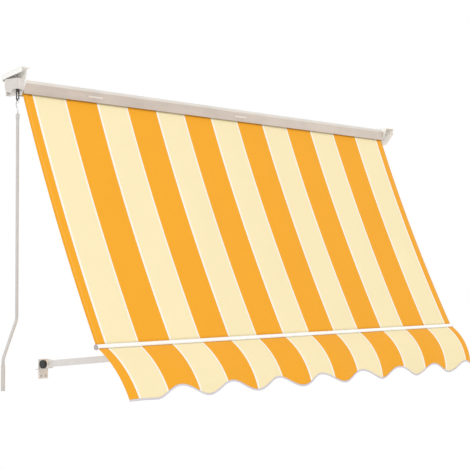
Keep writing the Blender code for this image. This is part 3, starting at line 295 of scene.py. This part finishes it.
def new_material(name):
    """A material with its tree and its Principled shader."""
    made = bpy.data.materials.new(name)
    made.use_nodes = True
    return made, made.node_tree, made.node_tree.nodes["Principled BSDF"]


def raised(tree, shader, height, strength, distance):
    """Bump on a shader from a height."""
    bump = tree.nodes.new("ShaderNodeBump")
    bump.inputs["Strength"].default_value = strength
    bump.inputs["Distance"].default_value = distance
    tree.links.new(height, bump.inputs["Height"])
    tree.links.new(bump.outputs["Normal"], shader.inputs["Normal"])


def painted(name, colour, clouding=0.06, gloss=0.35, highlight_band=None):
    """Powder-coated metal; the last argument, if given, is (height, softness, colour) of a painted
    highlight: a paler colour above a height that stands in for light on faces that look up.
    """
    made, tree, shader = new_material(name)
    place = object_place(tree)
    coat = tree.nodes.new("ShaderNodeGroup")
    coat.node_tree = POWDER_COAT
    coat.inputs["Clouding"].default_value = clouding
    coat.inputs["Gloss"].default_value = gloss
    tree.links.new(place, coat.inputs["Place"])
    # A paler colour above a height: a painted highlight, the light on faces that look up, put into the
    # colour.
    if highlight_band:
        split = tree.nodes.new("ShaderNodeSeparateXYZ")
        tree.links.new(place, split.inputs[0])
        share = spread(tree, split.outputs["Z"], highlight_band[0] - highlight_band[1], highlight_band[0] + highlight_band[1])
        tree.links.new(blended(tree, share, colour, highlight_band[2]), coat.inputs["Colour"])
    else:
        coat.inputs["Colour"].default_value = colour
    tree.links.new(coat.outputs["Colour"], shader.inputs["Base Color"])
    tree.links.new(coat.outputs["Roughness"], shader.inputs["Roughness"])
    shader.inputs["Specular IOR Level"].default_value = 0.45
    raised(tree, shader, coat.outputs["Height"], 0.12, 0.0003)
    return made


def softened(node, piece_name, look, edge=0.0006, segments=2, crease=35.0):
    """A finished copy of a CAD node: its facets merged, its edges rounded, and its own finish."""
    source = frame["nodes"][node]
    bm = bmesh.new()
    bm.from_mesh(source.data)
    bmesh.ops.remove_doubles(bm, verts=bm.verts, dist=0.00002)
    bmesh.ops.dissolve_limit(bm, angle_limit=math.radians(0.6), verts=bm.verts, edges=bm.edges)
    mesh = bpy.data.meshes.new(piece_name)
    bm.to_mesh(mesh)
    bm.free()
    mesh.shade_smooth()
    mesh.set_sharp_from_angle(angle=math.radians(crease))
    mesh.materials.append(look)
    piece = bpy.data.objects.new(piece_name, mesh)
    bpy.context.scene.collection.objects.link(piece)
    if edge:
        rounding = piece.modifiers.new("rounded_edges", "BEVEL")
        rounding.width = edge
        rounding.segments = segments
        rounding.limit_method = "ANGLE"
        rounding.angle_limit = math.radians(crease)
        rounding.harden_normals = True
    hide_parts(node)
    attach(piece, source["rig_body"])
    return piece


# The hood's paler top is a painted highlight: the upper bevel's light, put into the colour above this
# height.
HOOD_HIGHLIGHT_HEIGHT = 0.0135
HOOD_HIGHLIGHT_BLUR = 0.0022
HOOD_BEIGE = linear(206, 192, 180)
HOOD_PAINTED_HIGHLIGHT = linear(232, 225, 215)
hood_paint_and_highlight = painted("hood_coat_painted_highlight", HOOD_BEIGE, clouding=0.13, gloss=0.38,
                     highlight_band=(HOOD_HIGHLIGHT_HEIGHT, HOOD_HIGHLIGHT_BLUR, HOOD_PAINTED_HIGHLIGHT))
softened("hood", "hood_profile", hood_paint_and_highlight, edge=0.0007)

# Two flat pale clips snapped on the face.
clip_paint = painted("clip_coat", linear(226, 216, 205), clouding=0.05, gloss=0.3)
for side in ("left", "right"):
    softened(f"hood_clip_{side}", f"face_clip_{side}", clip_paint, edge=0.0004)


# End brackets
# Bent and welded steel brackets, powder-coated white, each screwed to the wall
# by two pan-head screws. A flange on top of each shelters the end of the hood.
WHITE_COAT = linear(248, 246, 242)
white_paint = painted("white_coat", WHITE_COAT, clouding=0.05, gloss=0.33)
for side in ("left", "right"):
    softened(f"bracket_{side}", f"end_bracket_{side}", white_paint, edge=0.0009)


def metal(name, colour, roughness, grain=(1.0, 1.0, 1.0), depth=0.08):
    """Bare or plated metal with fine drawn scratches along the short side of grain."""
    made, tree, shader = new_material(name)
    place = object_place(tree)
    scratches = cloud(tree, place, 420.0, 4.0, 0.65, grain)
    stains = cloud(tree, place, 35.0, 3.0, 0.5)
    dulled = tuple(c * 0.82 for c in colour[:3]) + (1.0,)
    toned = blended(tree, spread(tree, stains, 0.35, 0.7), colour, dulled)
    tree.links.new(toned, shader.inputs["Base Color"])
    worn = spread(tree, scratches, 0.3, 0.7, roughness - 0.07, roughness + 0.1)
    tree.links.new(worn, shader.inputs["Roughness"])
    shader.inputs["Metallic"].default_value = 1.0
    raised(tree, shader, scratches, depth, 0.0002)
    return made


ZINC_GREY = (0.62, 0.63, 0.65, 1.0)
zinc = metal("zinc_plate", ZINC_GREY, 0.34, (1.0, 0.3, 1.0))
CROSS_WIDTH = 0.0012
CROSS_LENGTH = 0.0056
CROSS_DEPTH = 0.0016


def crossed_screw(node, piece_name):
    """A pan-head screw with a cross recess cut in its head."""
    piece = softened(node, piece_name, zinc, edge=0.0)
    low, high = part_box(node)
    middle = (low + high) / 2
    recess = bmesh.new()
    for wide, tall in ((CROSS_WIDTH, CROSS_LENGTH), (CROSS_LENGTH, CROSS_WIDTH)):
        one = bmesh.ops.create_cube(recess, size=1.0)["verts"]
        bmesh.ops.scale(recess, vec=(wide, 2 * CROSS_DEPTH, tall), verts=one)
    bmesh.ops.translate(recess, vec=(middle.x, low.y, middle.z), verts=recess.verts)
    tool_mesh = bpy.data.meshes.new(f"{piece_name}_recess")
    recess.to_mesh(tool_mesh)
    recess.free()
    tool = bpy.data.objects.new(f"{piece_name}_recess", tool_mesh)
    bpy.context.scene.collection.objects.link(tool)
    cut = piece.modifiers.new("recess", "BOOLEAN")
    cut.operation = "DIFFERENCE"
    cut.solver = "EXACT"
    cut.use_self = True
    cut.object = tool
    bpy.context.view_layer.update()
    evaluated = piece.evaluated_get(bpy.context.evaluated_depsgraph_get())
    cut_mesh = bpy.data.meshes.new_from_object(evaluated)
    piece.modifiers.clear()
    piece.data = cut_mesh
    cut_mesh.set_sharp_from_angle(angle=math.radians(35))
    bpy.data.objects.remove(tool)


for side in ("left", "right"):
    for row in ("high", "low"):
        crossed_screw(f"bracket_screw_{side}_{row}", f"wall_screw_{side}_{row}")


# Roller and its ends
# A rolled steel tube with moulded plugs pressed into both ends. The left plug's
# square end carries the worm wheel; the right one's pin turns in a plastic bush.
def grain_effect():
    """The fine leather-like grain of a moulding, with slight clouds in its colour."""
    group, given, made = effect(
        "moulded_grain",
        [("Place", "NodeSocketVector", None), ("Colour", "NodeSocketColor", (0.5, 0.5, 0.5, 1.0)),
         ("Gloss", "NodeSocketFloat", 0.45)],
        [("Colour", "NodeSocketColor"), ("Roughness", "NodeSocketFloat"), ("Height", "NodeSocketFloat")])
    place = given.outputs["Place"]
    shade = spread(group, cloud(group, place, 22.0, 4.0), 0.3, 0.7, 0.93, 1.0)
    tone = group.nodes.new("ShaderNodeCombineColor")
    for channel in ("Red", "Green", "Blue"):
        group.links.new(shade, tone.inputs[channel])
    toned = blended(group, 1.0, given.outputs["Colour"], tone.outputs[0], "MULTIPLY")
    group.links.new(toned, made.inputs["Colour"])
    scuffs = spread(group, cloud(group, place, 60.0, 5.0, 0.7), 0.4, 0.7, -0.05, 0.12)
    group.links.new(arithmetic(group, "ADD", given.outputs["Gloss"], scuffs), made.inputs["Roughness"])
    cells = group.nodes.new("ShaderNodeTexVoronoi")
    cells.inputs["Scale"].default_value = 1400.0
    group.links.new(place, cells.inputs["Vector"])
    group.links.new(cells.outputs["Distance"], made.inputs["Height"])
    return group


MOULDED_GRAIN = grain_effect()


def moulded(name, colour, gloss=0.45, depth=0.15):
    """Injection-moulded plastic."""
    made, tree, shader = new_material(name)
    grain = tree.nodes.new("ShaderNodeGroup")
    grain.node_tree = MOULDED_GRAIN
    grain.inputs["Colour"].default_value = colour
    grain.inputs["Gloss"].default_value = gloss
    tree.links.new(object_place(tree), grain.inputs["Place"])
    tree.links.new(grain.outputs["Colour"], shader.inputs["Base Color"])
    tree.links.new(grain.outputs["Roughness"], shader.inputs["Roughness"])
    raised(tree, shader, grain.outputs["Height"], depth, 0.0002)
    return made


pale_plastic = moulded("pale_moulding", linear(245, 242, 233), 0.42)
black_plastic = moulded("black_moulding", linear(34, 33, 33), 0.4, 0.2)
tube_steel = metal("galvanised_tube", (0.55, 0.57, 0.60, 1.0), 0.42, (0.06, 1.0, 1.0), 0.12)
softened("roller_tube", "roller_steel_tube", tube_steel, edge=0.0003)
softened("roller_plug_left", "driven_plug", pale_plastic, edge=0.0005)
softened("roller_plug_right", "idle_plug", pale_plastic, edge=0.0005)
softened("idle_bush", "idle_pin_bush", black_plastic, edge=0.0002)

ROLLER_CENTRE = Vector((-0.042, 0.0))
CLOTH_WIDTH = 2.4
CLOTH_LEFT = -CLOTH_WIDTH / 2
ROLL_INNER = 0.01435
ROLL_OUTER = 0.0155
ROLL_INSET = 0.0003
CANVAS_YARNS = 1500.0
# Half the width of a row of stitches, and the share of each step that its thread covers.
CANVAS_STITCH = (0.0006, 0.68)


def woven_effect():
    """Plain weave of coarse acrylic yarn in metres of cloth: height, and a faint change of tone."""
    group, given, made = effect(
        "woven_yarn",
        [("Cloth", "NodeSocketVector", None), ("Yarns", "NodeSocketFloat", CANVAS_YARNS)],
        [("Height", "NodeSocketFloat"), ("Tone", "NodeSocketColor")])
    split = group.nodes.new("ShaderNodeSeparateXYZ")
    group.links.new(given.outputs["Cloth"], split.inputs[0])
    across = arithmetic(group, "MULTIPLY", split.outputs["X"], given.outputs["Yarns"])
    along = arithmetic(group, "MULTIPLY", split.outputs["Y"], given.outputs["Yarns"])
    wave_a = arithmetic(group, "SINE", arithmetic(group, "MULTIPLY", across, math.pi))
    wave_b = arithmetic(group, "SINE", arithmetic(group, "MULTIPLY", along, math.pi))
    over = arithmetic(group, "MULTIPLY", wave_a, wave_b)
    slub = cloud(group, given.outputs["Cloth"], 60.0, 4.0, 0.7, (14.0, 0.5, 1.0))
    weft = cloud(group, given.outputs["Cloth"], 60.0, 4.0, 0.7, (0.5, 14.0, 1.0))
    yarn = arithmetic(group, "ADD", arithmetic(group, "MULTIPLY", over, 0.35),
                      arithmetic(group, "MULTIPLY", arithmetic(group, "ADD", slub, weft), 0.6))
    group.links.new(yarn, made.inputs["Height"])
    weather = cloud(group, given.outputs["Cloth"], 3.2, 3.0, 0.5)
    threads = arithmetic(group, "MULTIPLY", arithmetic(group, "ADD", slub, weft), 0.5)
    shade = spread(group, arithmetic(group, "ADD", threads, weather), 0.6, 1.4, 0.955, 1.0)
    tone = group.nodes.new("ShaderNodeCombineColor")
    for channel in ("Red", "Green", "Blue"):
        group.links.new(shade, tone.inputs[channel])
    group.links.new(tone.outputs[0], made.inputs["Tone"])
    return group


WOVEN_YARN = woven_effect()
STRIPE_START = 0.0486
STRIPE_CREAM = 0.1797
STRIPE_ORANGE = 0.1750
STRIPE_DRIFT = 0.040
STRIPE_LINE_LEFT = 0.0105
STRIPE_LINE_RIGHT = 0.0080
CLOTH_ORANGE = linear(249, 172, 36)
CLOTH_CREAM = linear(253, 237, 191)
CLOTH_WHITE = linear(255, 251, 240)


def striped_cloth(name, stitches=()):
    """Awning cloth: wide cream and orange stripes with white lines between them.

    stitches are (axis, position, step) of stitch rows, in metres of the cloth's own map."""
    made, tree, shader = new_material(name)
    cloth = tree.nodes.new("ShaderNodeUVMap").outputs["UV"]
    split = tree.nodes.new("ShaderNodeSeparateXYZ")
    tree.links.new(cloth, split.inputs[0])
    across = split.outputs["X"]
    swing = arithmetic(tree, "SINE", arithmetic(tree, "MULTIPLY", across, math.pi / CLOTH_WIDTH))
    drawn = arithmetic(tree, "ADD", across, arithmetic(tree, "MULTIPLY", swing, STRIPE_DRIFT))
    period = STRIPE_CREAM + STRIPE_ORANGE
    shifted = arithmetic(tree, "ADD", drawn, period - STRIPE_START)
    inside = arithmetic(tree, "MODULO", shifted, period)
    cream = arithmetic(tree, "LESS_THAN", inside, STRIPE_CREAM)
    left_line = arithmetic(tree, "LESS_THAN", inside, STRIPE_LINE_LEFT)
    right_line = arithmetic(tree, "MULTIPLY", cream,
                            arithmetic(tree, "GREATER_THAN", inside, STRIPE_CREAM - STRIPE_LINE_RIGHT))
    lines = arithmetic(tree, "MAXIMUM", left_line, right_line)
    stripes = blended(tree, cream, CLOTH_ORANGE, CLOTH_CREAM)
    lined = blended(tree, lines, stripes, CLOTH_WHITE)
    yarn = tree.nodes.new("ShaderNodeGroup")
    yarn.node_tree = WOVEN_YARN
    yarn.inputs["Yarns"].default_value = CANVAS_YARNS
    tree.links.new(cloth, yarn.inputs["Cloth"])
    toned = blended(tree, 1.0, lined, yarn.outputs["Tone"], "MULTIPLY")
    height = yarn.outputs["Height"]
    for axis, position, dash in stitches:
        from_row = arithmetic(tree, "ABSOLUTE", arithmetic(tree, "SUBTRACT", split.outputs[axis], position))
        on_row = arithmetic(tree, "LESS_THAN", from_row, CANVAS_STITCH[0])
        other = split.outputs["Y" if axis == "X" else "X"]
        step = arithmetic(tree, "FRACT", arithmetic(tree, "DIVIDE", other, dash))
        stitch = arithmetic(tree, "MULTIPLY", on_row, arithmetic(tree, "LESS_THAN", step, CANVAS_STITCH[1]))
        toned = blended(tree, arithmetic(tree, "MULTIPLY", stitch, 0.6), toned, linear(250, 226, 180))
        height = arithmetic(tree, "ADD", height, arithmetic(tree, "MULTIPLY", stitch, 1.5))
    tree.links.new(toned, shader.inputs["Base Color"])
    shader.inputs["Roughness"].default_value = 0.82
    shader.inputs["Specular IOR Level"].default_value = 0.2
    shader.inputs["Sheen Weight"].default_value = 0.08
    shader.inputs["Sheen Roughness"].default_value = 0.5
    raised(tree, shader, height, 0.35, 0.0003)
    return made


def cloth_grid(name, look, columns, rows, place, chart, thickness=0.0008):
    """A sheet from a grid: place(s, t) puts each point, chart(s, t) is its place on the flat cloth."""
    bm = bmesh.new()
    bmesh.ops.create_grid(bm, x_segments=columns, y_segments=rows, size=0.5)
    shares = {v: (v.co.x + 0.5, 0.5 - v.co.y) for v in bm.verts}
    layer = bm.loops.layers.uv.new("cloth")
    for face in bm.faces:
        for corner in face.loops:
            corner[layer].uv = chart(*shares[corner.vert])
    for vert, share in shares.items():
        vert.co = place(*share)
    bmesh.ops.recalc_face_normals(bm, faces=bm.faces)
    mesh = bpy.data.meshes.new(name)
    bm.to_mesh(mesh)
    bm.free()
    mesh.shade_smooth()
    mesh.materials.append(look)
    piece = bpy.data.objects.new(name, mesh)
    bpy.context.scene.collection.objects.link(piece)
    wall = piece.modifiers.new("cloth_thickness", "SOLIDIFY")
    wall.thickness = thickness
    wall.offset = 0.0
    return piece


plain_stripes = striped_cloth("striped_cloth")
ROLL_TURNS = 2
ROLL_STEPS = 96
ROLL_CLOTH = 0.2


def roll_place(s, t):
    """A spiral of cloth round the tube, from the glued inner edge to where the canopy leaves it."""
    radius = ROLL_INNER + ROLL_INSET + (ROLL_OUTER - ROLL_INSET - ROLL_INNER) * t
    turn = ROLL_EXIT - 2 * math.pi * ROLL_TURNS * (1 - t)
    return Vector((CLOTH_LEFT + CLOTH_WIDTH * s, ROLLER_CENTRE.x + radius * math.cos(turn),
                   ROLLER_CENTRE.y + radius * math.sin(turn)))


# The canopy
# One stretched sheet of striped acrylic canvas, hemmed at both sides. It leaves
# the front of the roll, sags a little, and is held by a cord in the bar's groove.
BAR_CENTRE = Vector((-0.488, -0.983))
CLOTH_THICK = 0.001
CANOPY_SAG = 0.016
BAR_RADIUS = 0.0105
GROOVE_DEPTH = 0.0036
CORD_RADIUS = 0.002
TOUCH_GAP = 0.0003
KEDER_REST = BAR_RADIUS - GROOVE_DEPTH + CORD_RADIUS + TOUCH_GAP
EXIT_RADIUS = ROLL_OUTER + TOUCH_GAP + CLOTH_THICK / 2
CANOPY_COLUMNS = 160
CANOPY_ROWS = 72
CANOPY_RIPPLE = 0.0011
HEM_WIDTH = 0.016

to_bar = BAR_CENTRE - ROLLER_CENTRE
cloth_tilt = math.atan2(to_bar.y, to_bar.x) - math.asin(EXIT_RADIUS / to_bar.length)
cloth_down = Vector((math.cos(cloth_tilt), math.sin(cloth_tilt)))
canopy_top = ROLLER_CENTRE + Vector((cloth_down.y, -cloth_down.x)) * EXIT_RADIUS
ROLL_EXIT = math.atan2((canopy_top - ROLLER_CENTRE).y, (canopy_top - ROLLER_CENTRE).x)
canopy_run = BAR_CENTRE - canopy_top
foot_angle = math.atan2(-cloth_down.y, -cloth_down.x) - math.atan(4 * CANOPY_SAG / canopy_run.length)
canopy_foot = BAR_CENTRE + KEDER_REST * Vector((math.cos(foot_angle), math.sin(foot_angle)))
canopy_line = canopy_foot - canopy_top
canopy_out = Vector((canopy_line.y, -canopy_line.x)).normalized()
CANOPY_LENGTH = canopy_line.length


def canopy_place(s, t, lift=0.0):
    """A point of the canopy: straight run, sag, and faint lengthwise ripples that fade at its ends."""
    free = 4 * t * (1 - t)
    across = CLOTH_WIDTH * s
    waves = math.sin(across * 10.3 + 0.6) + 0.6 * math.sin(across * 23.1 + 2.0 * t)
    ripple = waves * CANOPY_RIPPLE * free
    curl = 0.002 * free * (abs(2 * s - 1) ** 24)
    flat = canopy_top + canopy_line * t + canopy_out * (ripple - curl + lift - CANOPY_SAG * free)
    return Vector((CLOTH_LEFT + across, flat.x, flat.y))


def canopy_chart(s, t):
    """Metres on the flat cloth: across from the left edge, and down from the roll."""
    return CLOTH_WIDTH * s, CANOPY_LENGTH * t


HEM_STITCH = HEM_WIDTH - 0.003
STITCH_STEP = 0.0045
canopy_cloth = striped_cloth(
    "striped_canopy", [("X", HEM_STITCH, STITCH_STEP), ("X", CLOTH_WIDTH - HEM_STITCH, STITCH_STEP)])
canopy = cloth_grid("canopy_cloth", canopy_cloth, CANOPY_COLUMNS, CANOPY_ROWS, canopy_place, canopy_chart)
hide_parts("canopy")


def gathers(piece):
    """The piece rides on the wall frame, with a mesh of its own."""
    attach(piece, "wall_frame")
    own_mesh(piece)


gathers(canopy)
HEM_BEHIND = 0.00115
for side, low in (("left", 0.0), ("right", 1 - HEM_WIDTH / CLOTH_WIDTH)):
    share = HEM_WIDTH / CLOTH_WIDTH

    def hem_place(s, t):
        """The turned-over edge, one thickness behind the sheet."""
        return canopy_place(low + share * s, t, -HEM_BEHIND)

    def hem_chart(s, t):
        """The hem shows the same stripe as the sheet in front of it."""
        return canopy_chart(low + share * s, t)

    hem = cloth_grid(f"canopy_hem_{side}", canopy_cloth, 4, CANOPY_ROWS, hem_place, hem_chart)
    gathers(hem)


def roll_chart(s, t):
    """The roll's cloth goes on from the canopy's upper edge."""
    return CLOTH_WIDTH * s, -ROLL_CLOTH * (1 - t)


roll = cloth_grid("cloth_on_roller", plain_stripes, CANOPY_COLUMNS, ROLL_STEPS, roll_place, roll_chart,
                  thickness=0.0004)
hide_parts("wound_cloth")
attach(roll, "roller")


# Worm gear
# A die-cast wheel and a steel worm of two starts in a moulded housing with a
# flat cover. The worm's shaft comes out below, where the black eye is pinned on.
worm_steel = metal("turned_steel", (0.50, 0.50, 0.52, 1.0), 0.28, (1.0, 1.0, 0.2))
softened("worm_wheel", "gear_wheel", zinc, edge=0.0002)
softened("worm", "gear_worm", worm_steel, edge=0.0, crease=50.0)
softened("worm_bush", "gear_bush", black_plastic, edge=0.0002)
housing_plastic = moulded("housing_moulding", linear(221, 215, 209), 0.38)
softened("gear_housing", "gear_case", housing_plastic, edge=0.0008)
softened("gear_cover", "gear_case_cover", housing_plastic, edge=0.0006)
softened("crank_eye", "crank_eye_loop", black_plastic, edge=0.0003, crease=50.0)


# The crank
# A steel tube bent like a Z and coated light beige, with a wire hook crimped in
# its upper end, and a loose plastic sleeve for the hand round its lower end.
rod_paint = painted("rod_coat", linear(202, 199, 197), clouding=0.06, gloss=0.32)
hook_steel = metal("hook_wire", (0.55, 0.55, 0.56, 1.0), 0.3, (1.0, 1.0, 0.2))
softened("crank_hook", "hook_wire", hook_steel, edge=0.0, crease=50.0)
softened("crank_ferrule", "rod_ferrule", rod_paint, edge=0.0004)
softened("crank_rod", "bent_rod", rod_paint, edge=0.0, crease=50.0)
softened("crank_end_cap", "rod_end_cap", rod_paint, edge=0.0004)
grip_plastic = moulded("grip_moulding", linear(206, 201, 196), 0.5)
softened("crank_grip", "hand_sleeve", grip_plastic, edge=0.0004)


# Front bar
# An extruded tube with two grooves, powder-coated white, closed by a grey plug
# at each end. Plastic cords in the grooves hold the canopy and the valance.
bar_paint = painted("bar_coat", linear(252, 252, 250), clouding=0.02, gloss=0.3)
softened("front_bar", "bar_profile", bar_paint, edge=0.0002)
grey_plastic = moulded("grey_moulding", linear(188, 176, 177), 0.45)
for side in ("left", "right"):
    softened(f"bar_cap_{side}", f"bar_end_plug_{side}", grey_plastic, edge=0.0003)
for sheet_name in ("canopy", "valance"):
    softened(f"{sheet_name}_keder", f"{sheet_name}_edge_cord", pale_plastic, edge=0.0)


# The valance
# A loose strip of the same cloth below the bar, cut in waves and bound along
# them by a grey woven tape, folded over the edge and stitched once.
VALANCE_MEAN = 0.234
SCALLOP_HEIGHT = 0.022
SCALLOP_PITCH = 0.294
FIRST_LOBE = 0.141
VALANCE_TOP_ANGLE = math.radians(60.0)
VALANCE_FOOT_LEFT = math.radians(26.0)
VALANCE_FOOT_RIGHT = math.radians(-5.0)
VALANCE_WHOLE = VALANCE_MEAN + SCALLOP_HEIGHT
VALANCE_RIPPLE = 0.004
BINDING_WIDTH = 0.007
BINDING_OVERLAP = 0.0015
VALANCE_COLUMNS = 288
VALANCE_ROWS = 26


def scallop(across):
    """Length of the valance here, from the bar's axis; the first wave runs flat to the edge."""
    past_lobe = max(across - FIRST_LOBE, 0.0)
    return VALANCE_MEAN + SCALLOP_HEIGHT * math.cos(2 * math.pi * past_lobe / SCALLOP_PITCH)


def valance_point(across, along, lift=0.0):
    """A point of the hanging cloth, this far along it from the bar's axis."""
    foot = VALANCE_FOOT_LEFT + (VALANCE_FOOT_RIGHT - VALANCE_FOOT_LEFT) * across / CLOTH_WIDTH
    bend = (foot - VALANCE_TOP_ANGLE) / VALANCE_WHOLE
    angle = VALANCE_TOP_ANGLE + bend * along
    out = (math.cos(angle) - math.cos(VALANCE_TOP_ANGLE)) / bend
    down = -(math.sin(angle) - math.sin(VALANCE_TOP_ANGLE)) / bend
    normal = Vector((-math.cos(angle), math.sin(angle)))
    free = max(along - BAR_RADIUS, 0.0) / VALANCE_WHOLE
    ripple = VALANCE_RIPPLE * free * math.sin(4 * math.pi * across / SCALLOP_PITCH / 1.7)
    flat = BAR_CENTRE + Vector((out, down)) + normal * (ripple + lift)
    return Vector((CLOTH_LEFT + across, flat.x, flat.y))


def valance_place(s, t):
    """From the cord in the groove down to the binding's middle."""
    across = CLOTH_WIDTH * s
    end = scallop(across) - BINDING_OVERLAP
    return valance_point(across, KEDER_REST + (end - KEDER_REST) * t)


def valance_chart(s, t):
    """Metres on the flat valance."""
    across = CLOTH_WIDTH * s
    return across, KEDER_REST + (scallop(across) - KEDER_REST) * t


valance = cloth_grid("valance_cloth", plain_stripes, VALANCE_COLUMNS, VALANCE_ROWS, valance_place,
                     valance_chart)
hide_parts("valance")
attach(valance, "bar")


TAPE_GREY = linear(214, 209, 217)
TAPE_THREAD = linear(240, 238, 242)
TAPE_YARNS = 2200.0
TAPE_STITCH = (0.0004, 0.66)
TAPE_STITCH_STEP = 0.0042
TAPE_STITCH_ROW = 0.62


def tape_material():
    """Woven edge tape with one row of stitches along its middle."""
    made, tree, shader = new_material("edge_tape")
    cloth = tree.nodes.new("ShaderNodeUVMap").outputs["UV"]
    yarn = tree.nodes.new("ShaderNodeGroup")
    yarn.node_tree = WOVEN_YARN
    yarn.inputs["Yarns"].default_value = TAPE_YARNS
    tree.links.new(cloth, yarn.inputs["Cloth"])
    split = tree.nodes.new("ShaderNodeSeparateXYZ")
    tree.links.new(cloth, split.inputs[0])
    above_row = arithmetic(tree, "SUBTRACT", split.outputs["Y"], BINDING_WIDTH * TAPE_STITCH_ROW)
    from_row = arithmetic(tree, "ABSOLUTE", above_row)
    step = arithmetic(tree, "FRACT", arithmetic(tree, "DIVIDE", split.outputs["X"], TAPE_STITCH_STEP))
    stitch = arithmetic(tree, "MULTIPLY", arithmetic(tree, "LESS_THAN", from_row, TAPE_STITCH[0]),
                        arithmetic(tree, "LESS_THAN", step, TAPE_STITCH[1]))
    toned = blended(tree, 1.0, TAPE_GREY, yarn.outputs["Tone"], "MULTIPLY")
    stitched = blended(tree, arithmetic(tree, "MULTIPLY", stitch, 0.7), toned, TAPE_THREAD)
    tree.links.new(stitched, shader.inputs["Base Color"])
    shader.inputs["Roughness"].default_value = 0.75
    shader.inputs["Specular IOR Level"].default_value = 0.25
    shader.inputs["Sheen Weight"].default_value = 0.1
    height = arithmetic(tree, "ADD", yarn.outputs["Height"], arithmetic(tree, "MULTIPLY", stitch, 1.2))
    raised(tree, shader, height, 0.4, 0.0003)
    return made


TAPE_GAP = 0.00095
TAPE_FOLD = 0.0014
TAPE_EASE = 0.97
TAPE_INSET = 0.0003
TAPE_ROWS = 10


def tape_place(s, t):
    """A tape folded over the edge: up the back, round the edge, and up the front."""
    across = CLOTH_WIDTH * s
    end = scallop(across)
    reach = abs(2 * t - 1) * BINDING_WIDTH
    side = 1 if t > 0.5 else -1
    close = min(reach / TAPE_FOLD, 1.0)
    lift = side * TAPE_GAP * math.sqrt(1 - (1 - close) ** 2)
    return valance_point(across, end - reach * TAPE_EASE - TAPE_INSET, lift)


def tape_chart(s, t):
    """Metres along the tape, and up from its fold."""
    return CLOTH_WIDTH * s, abs(2 * t - 1) * BINDING_WIDTH


tape = cloth_grid("valance_edge_tape", tape_material(), VALANCE_COLUMNS, TAPE_ROWS, tape_place, tape_chart,
                  thickness=0.0006)
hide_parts("valance_binding")
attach(tape, "bar")


# The arms
# Square steel tubes, coated white, that turn on a bolt in a plated wall bracket.
# A black cap covers the nut, and a moulded fork holds the bar's holder by a pin.
arm_paint = painted("arm_coat", linear(229, 225, 222), clouding=0.05, gloss=0.33)
bracket_paint = painted("wall_bracket_coat", linear(237, 231, 228), clouding=0.09, gloss=0.36)
holder_paint = painted("holder_coat", linear(238, 234, 229), clouding=0.04, gloss=0.33)
for side in ("left", "right"):
    softened(f"arm_tube_{side}", f"square_arm_{side}", arm_paint, edge=0.0012, segments=3)
    softened(f"arm_knuckle_{side}", f"pivot_hub_{side}", pale_plastic, edge=0.0006)
    softened(f"arm_fork_{side}", f"tip_fork_{side}", pale_plastic, edge=0.0006)
    softened(f"arm_bracket_{side}", f"wall_plate_{side}", bracket_paint, edge=0.0007)
    softened(f"arm_bolt_{side}", f"pivot_bolt_{side}", zinc, edge=0.0004)
    softened(f"arm_nut_{side}", f"pivot_nut_{side}", zinc, edge=0.0004)
    softened(f"pivot_cap_{side}", f"black_cap_{side}", black_plastic, edge=0.0005)
    softened(f"bar_holder_{side}", f"bar_saddle_{side}", holder_paint, edge=0.0005)
    softened(f"tip_pin_{side}", f"fork_pin_{side}", zinc, edge=0.0003)
    for number in (0, 1):
        crossed_screw(f"arm_screw_{side}_{number}", f"plate_screw_{side}_{number}")
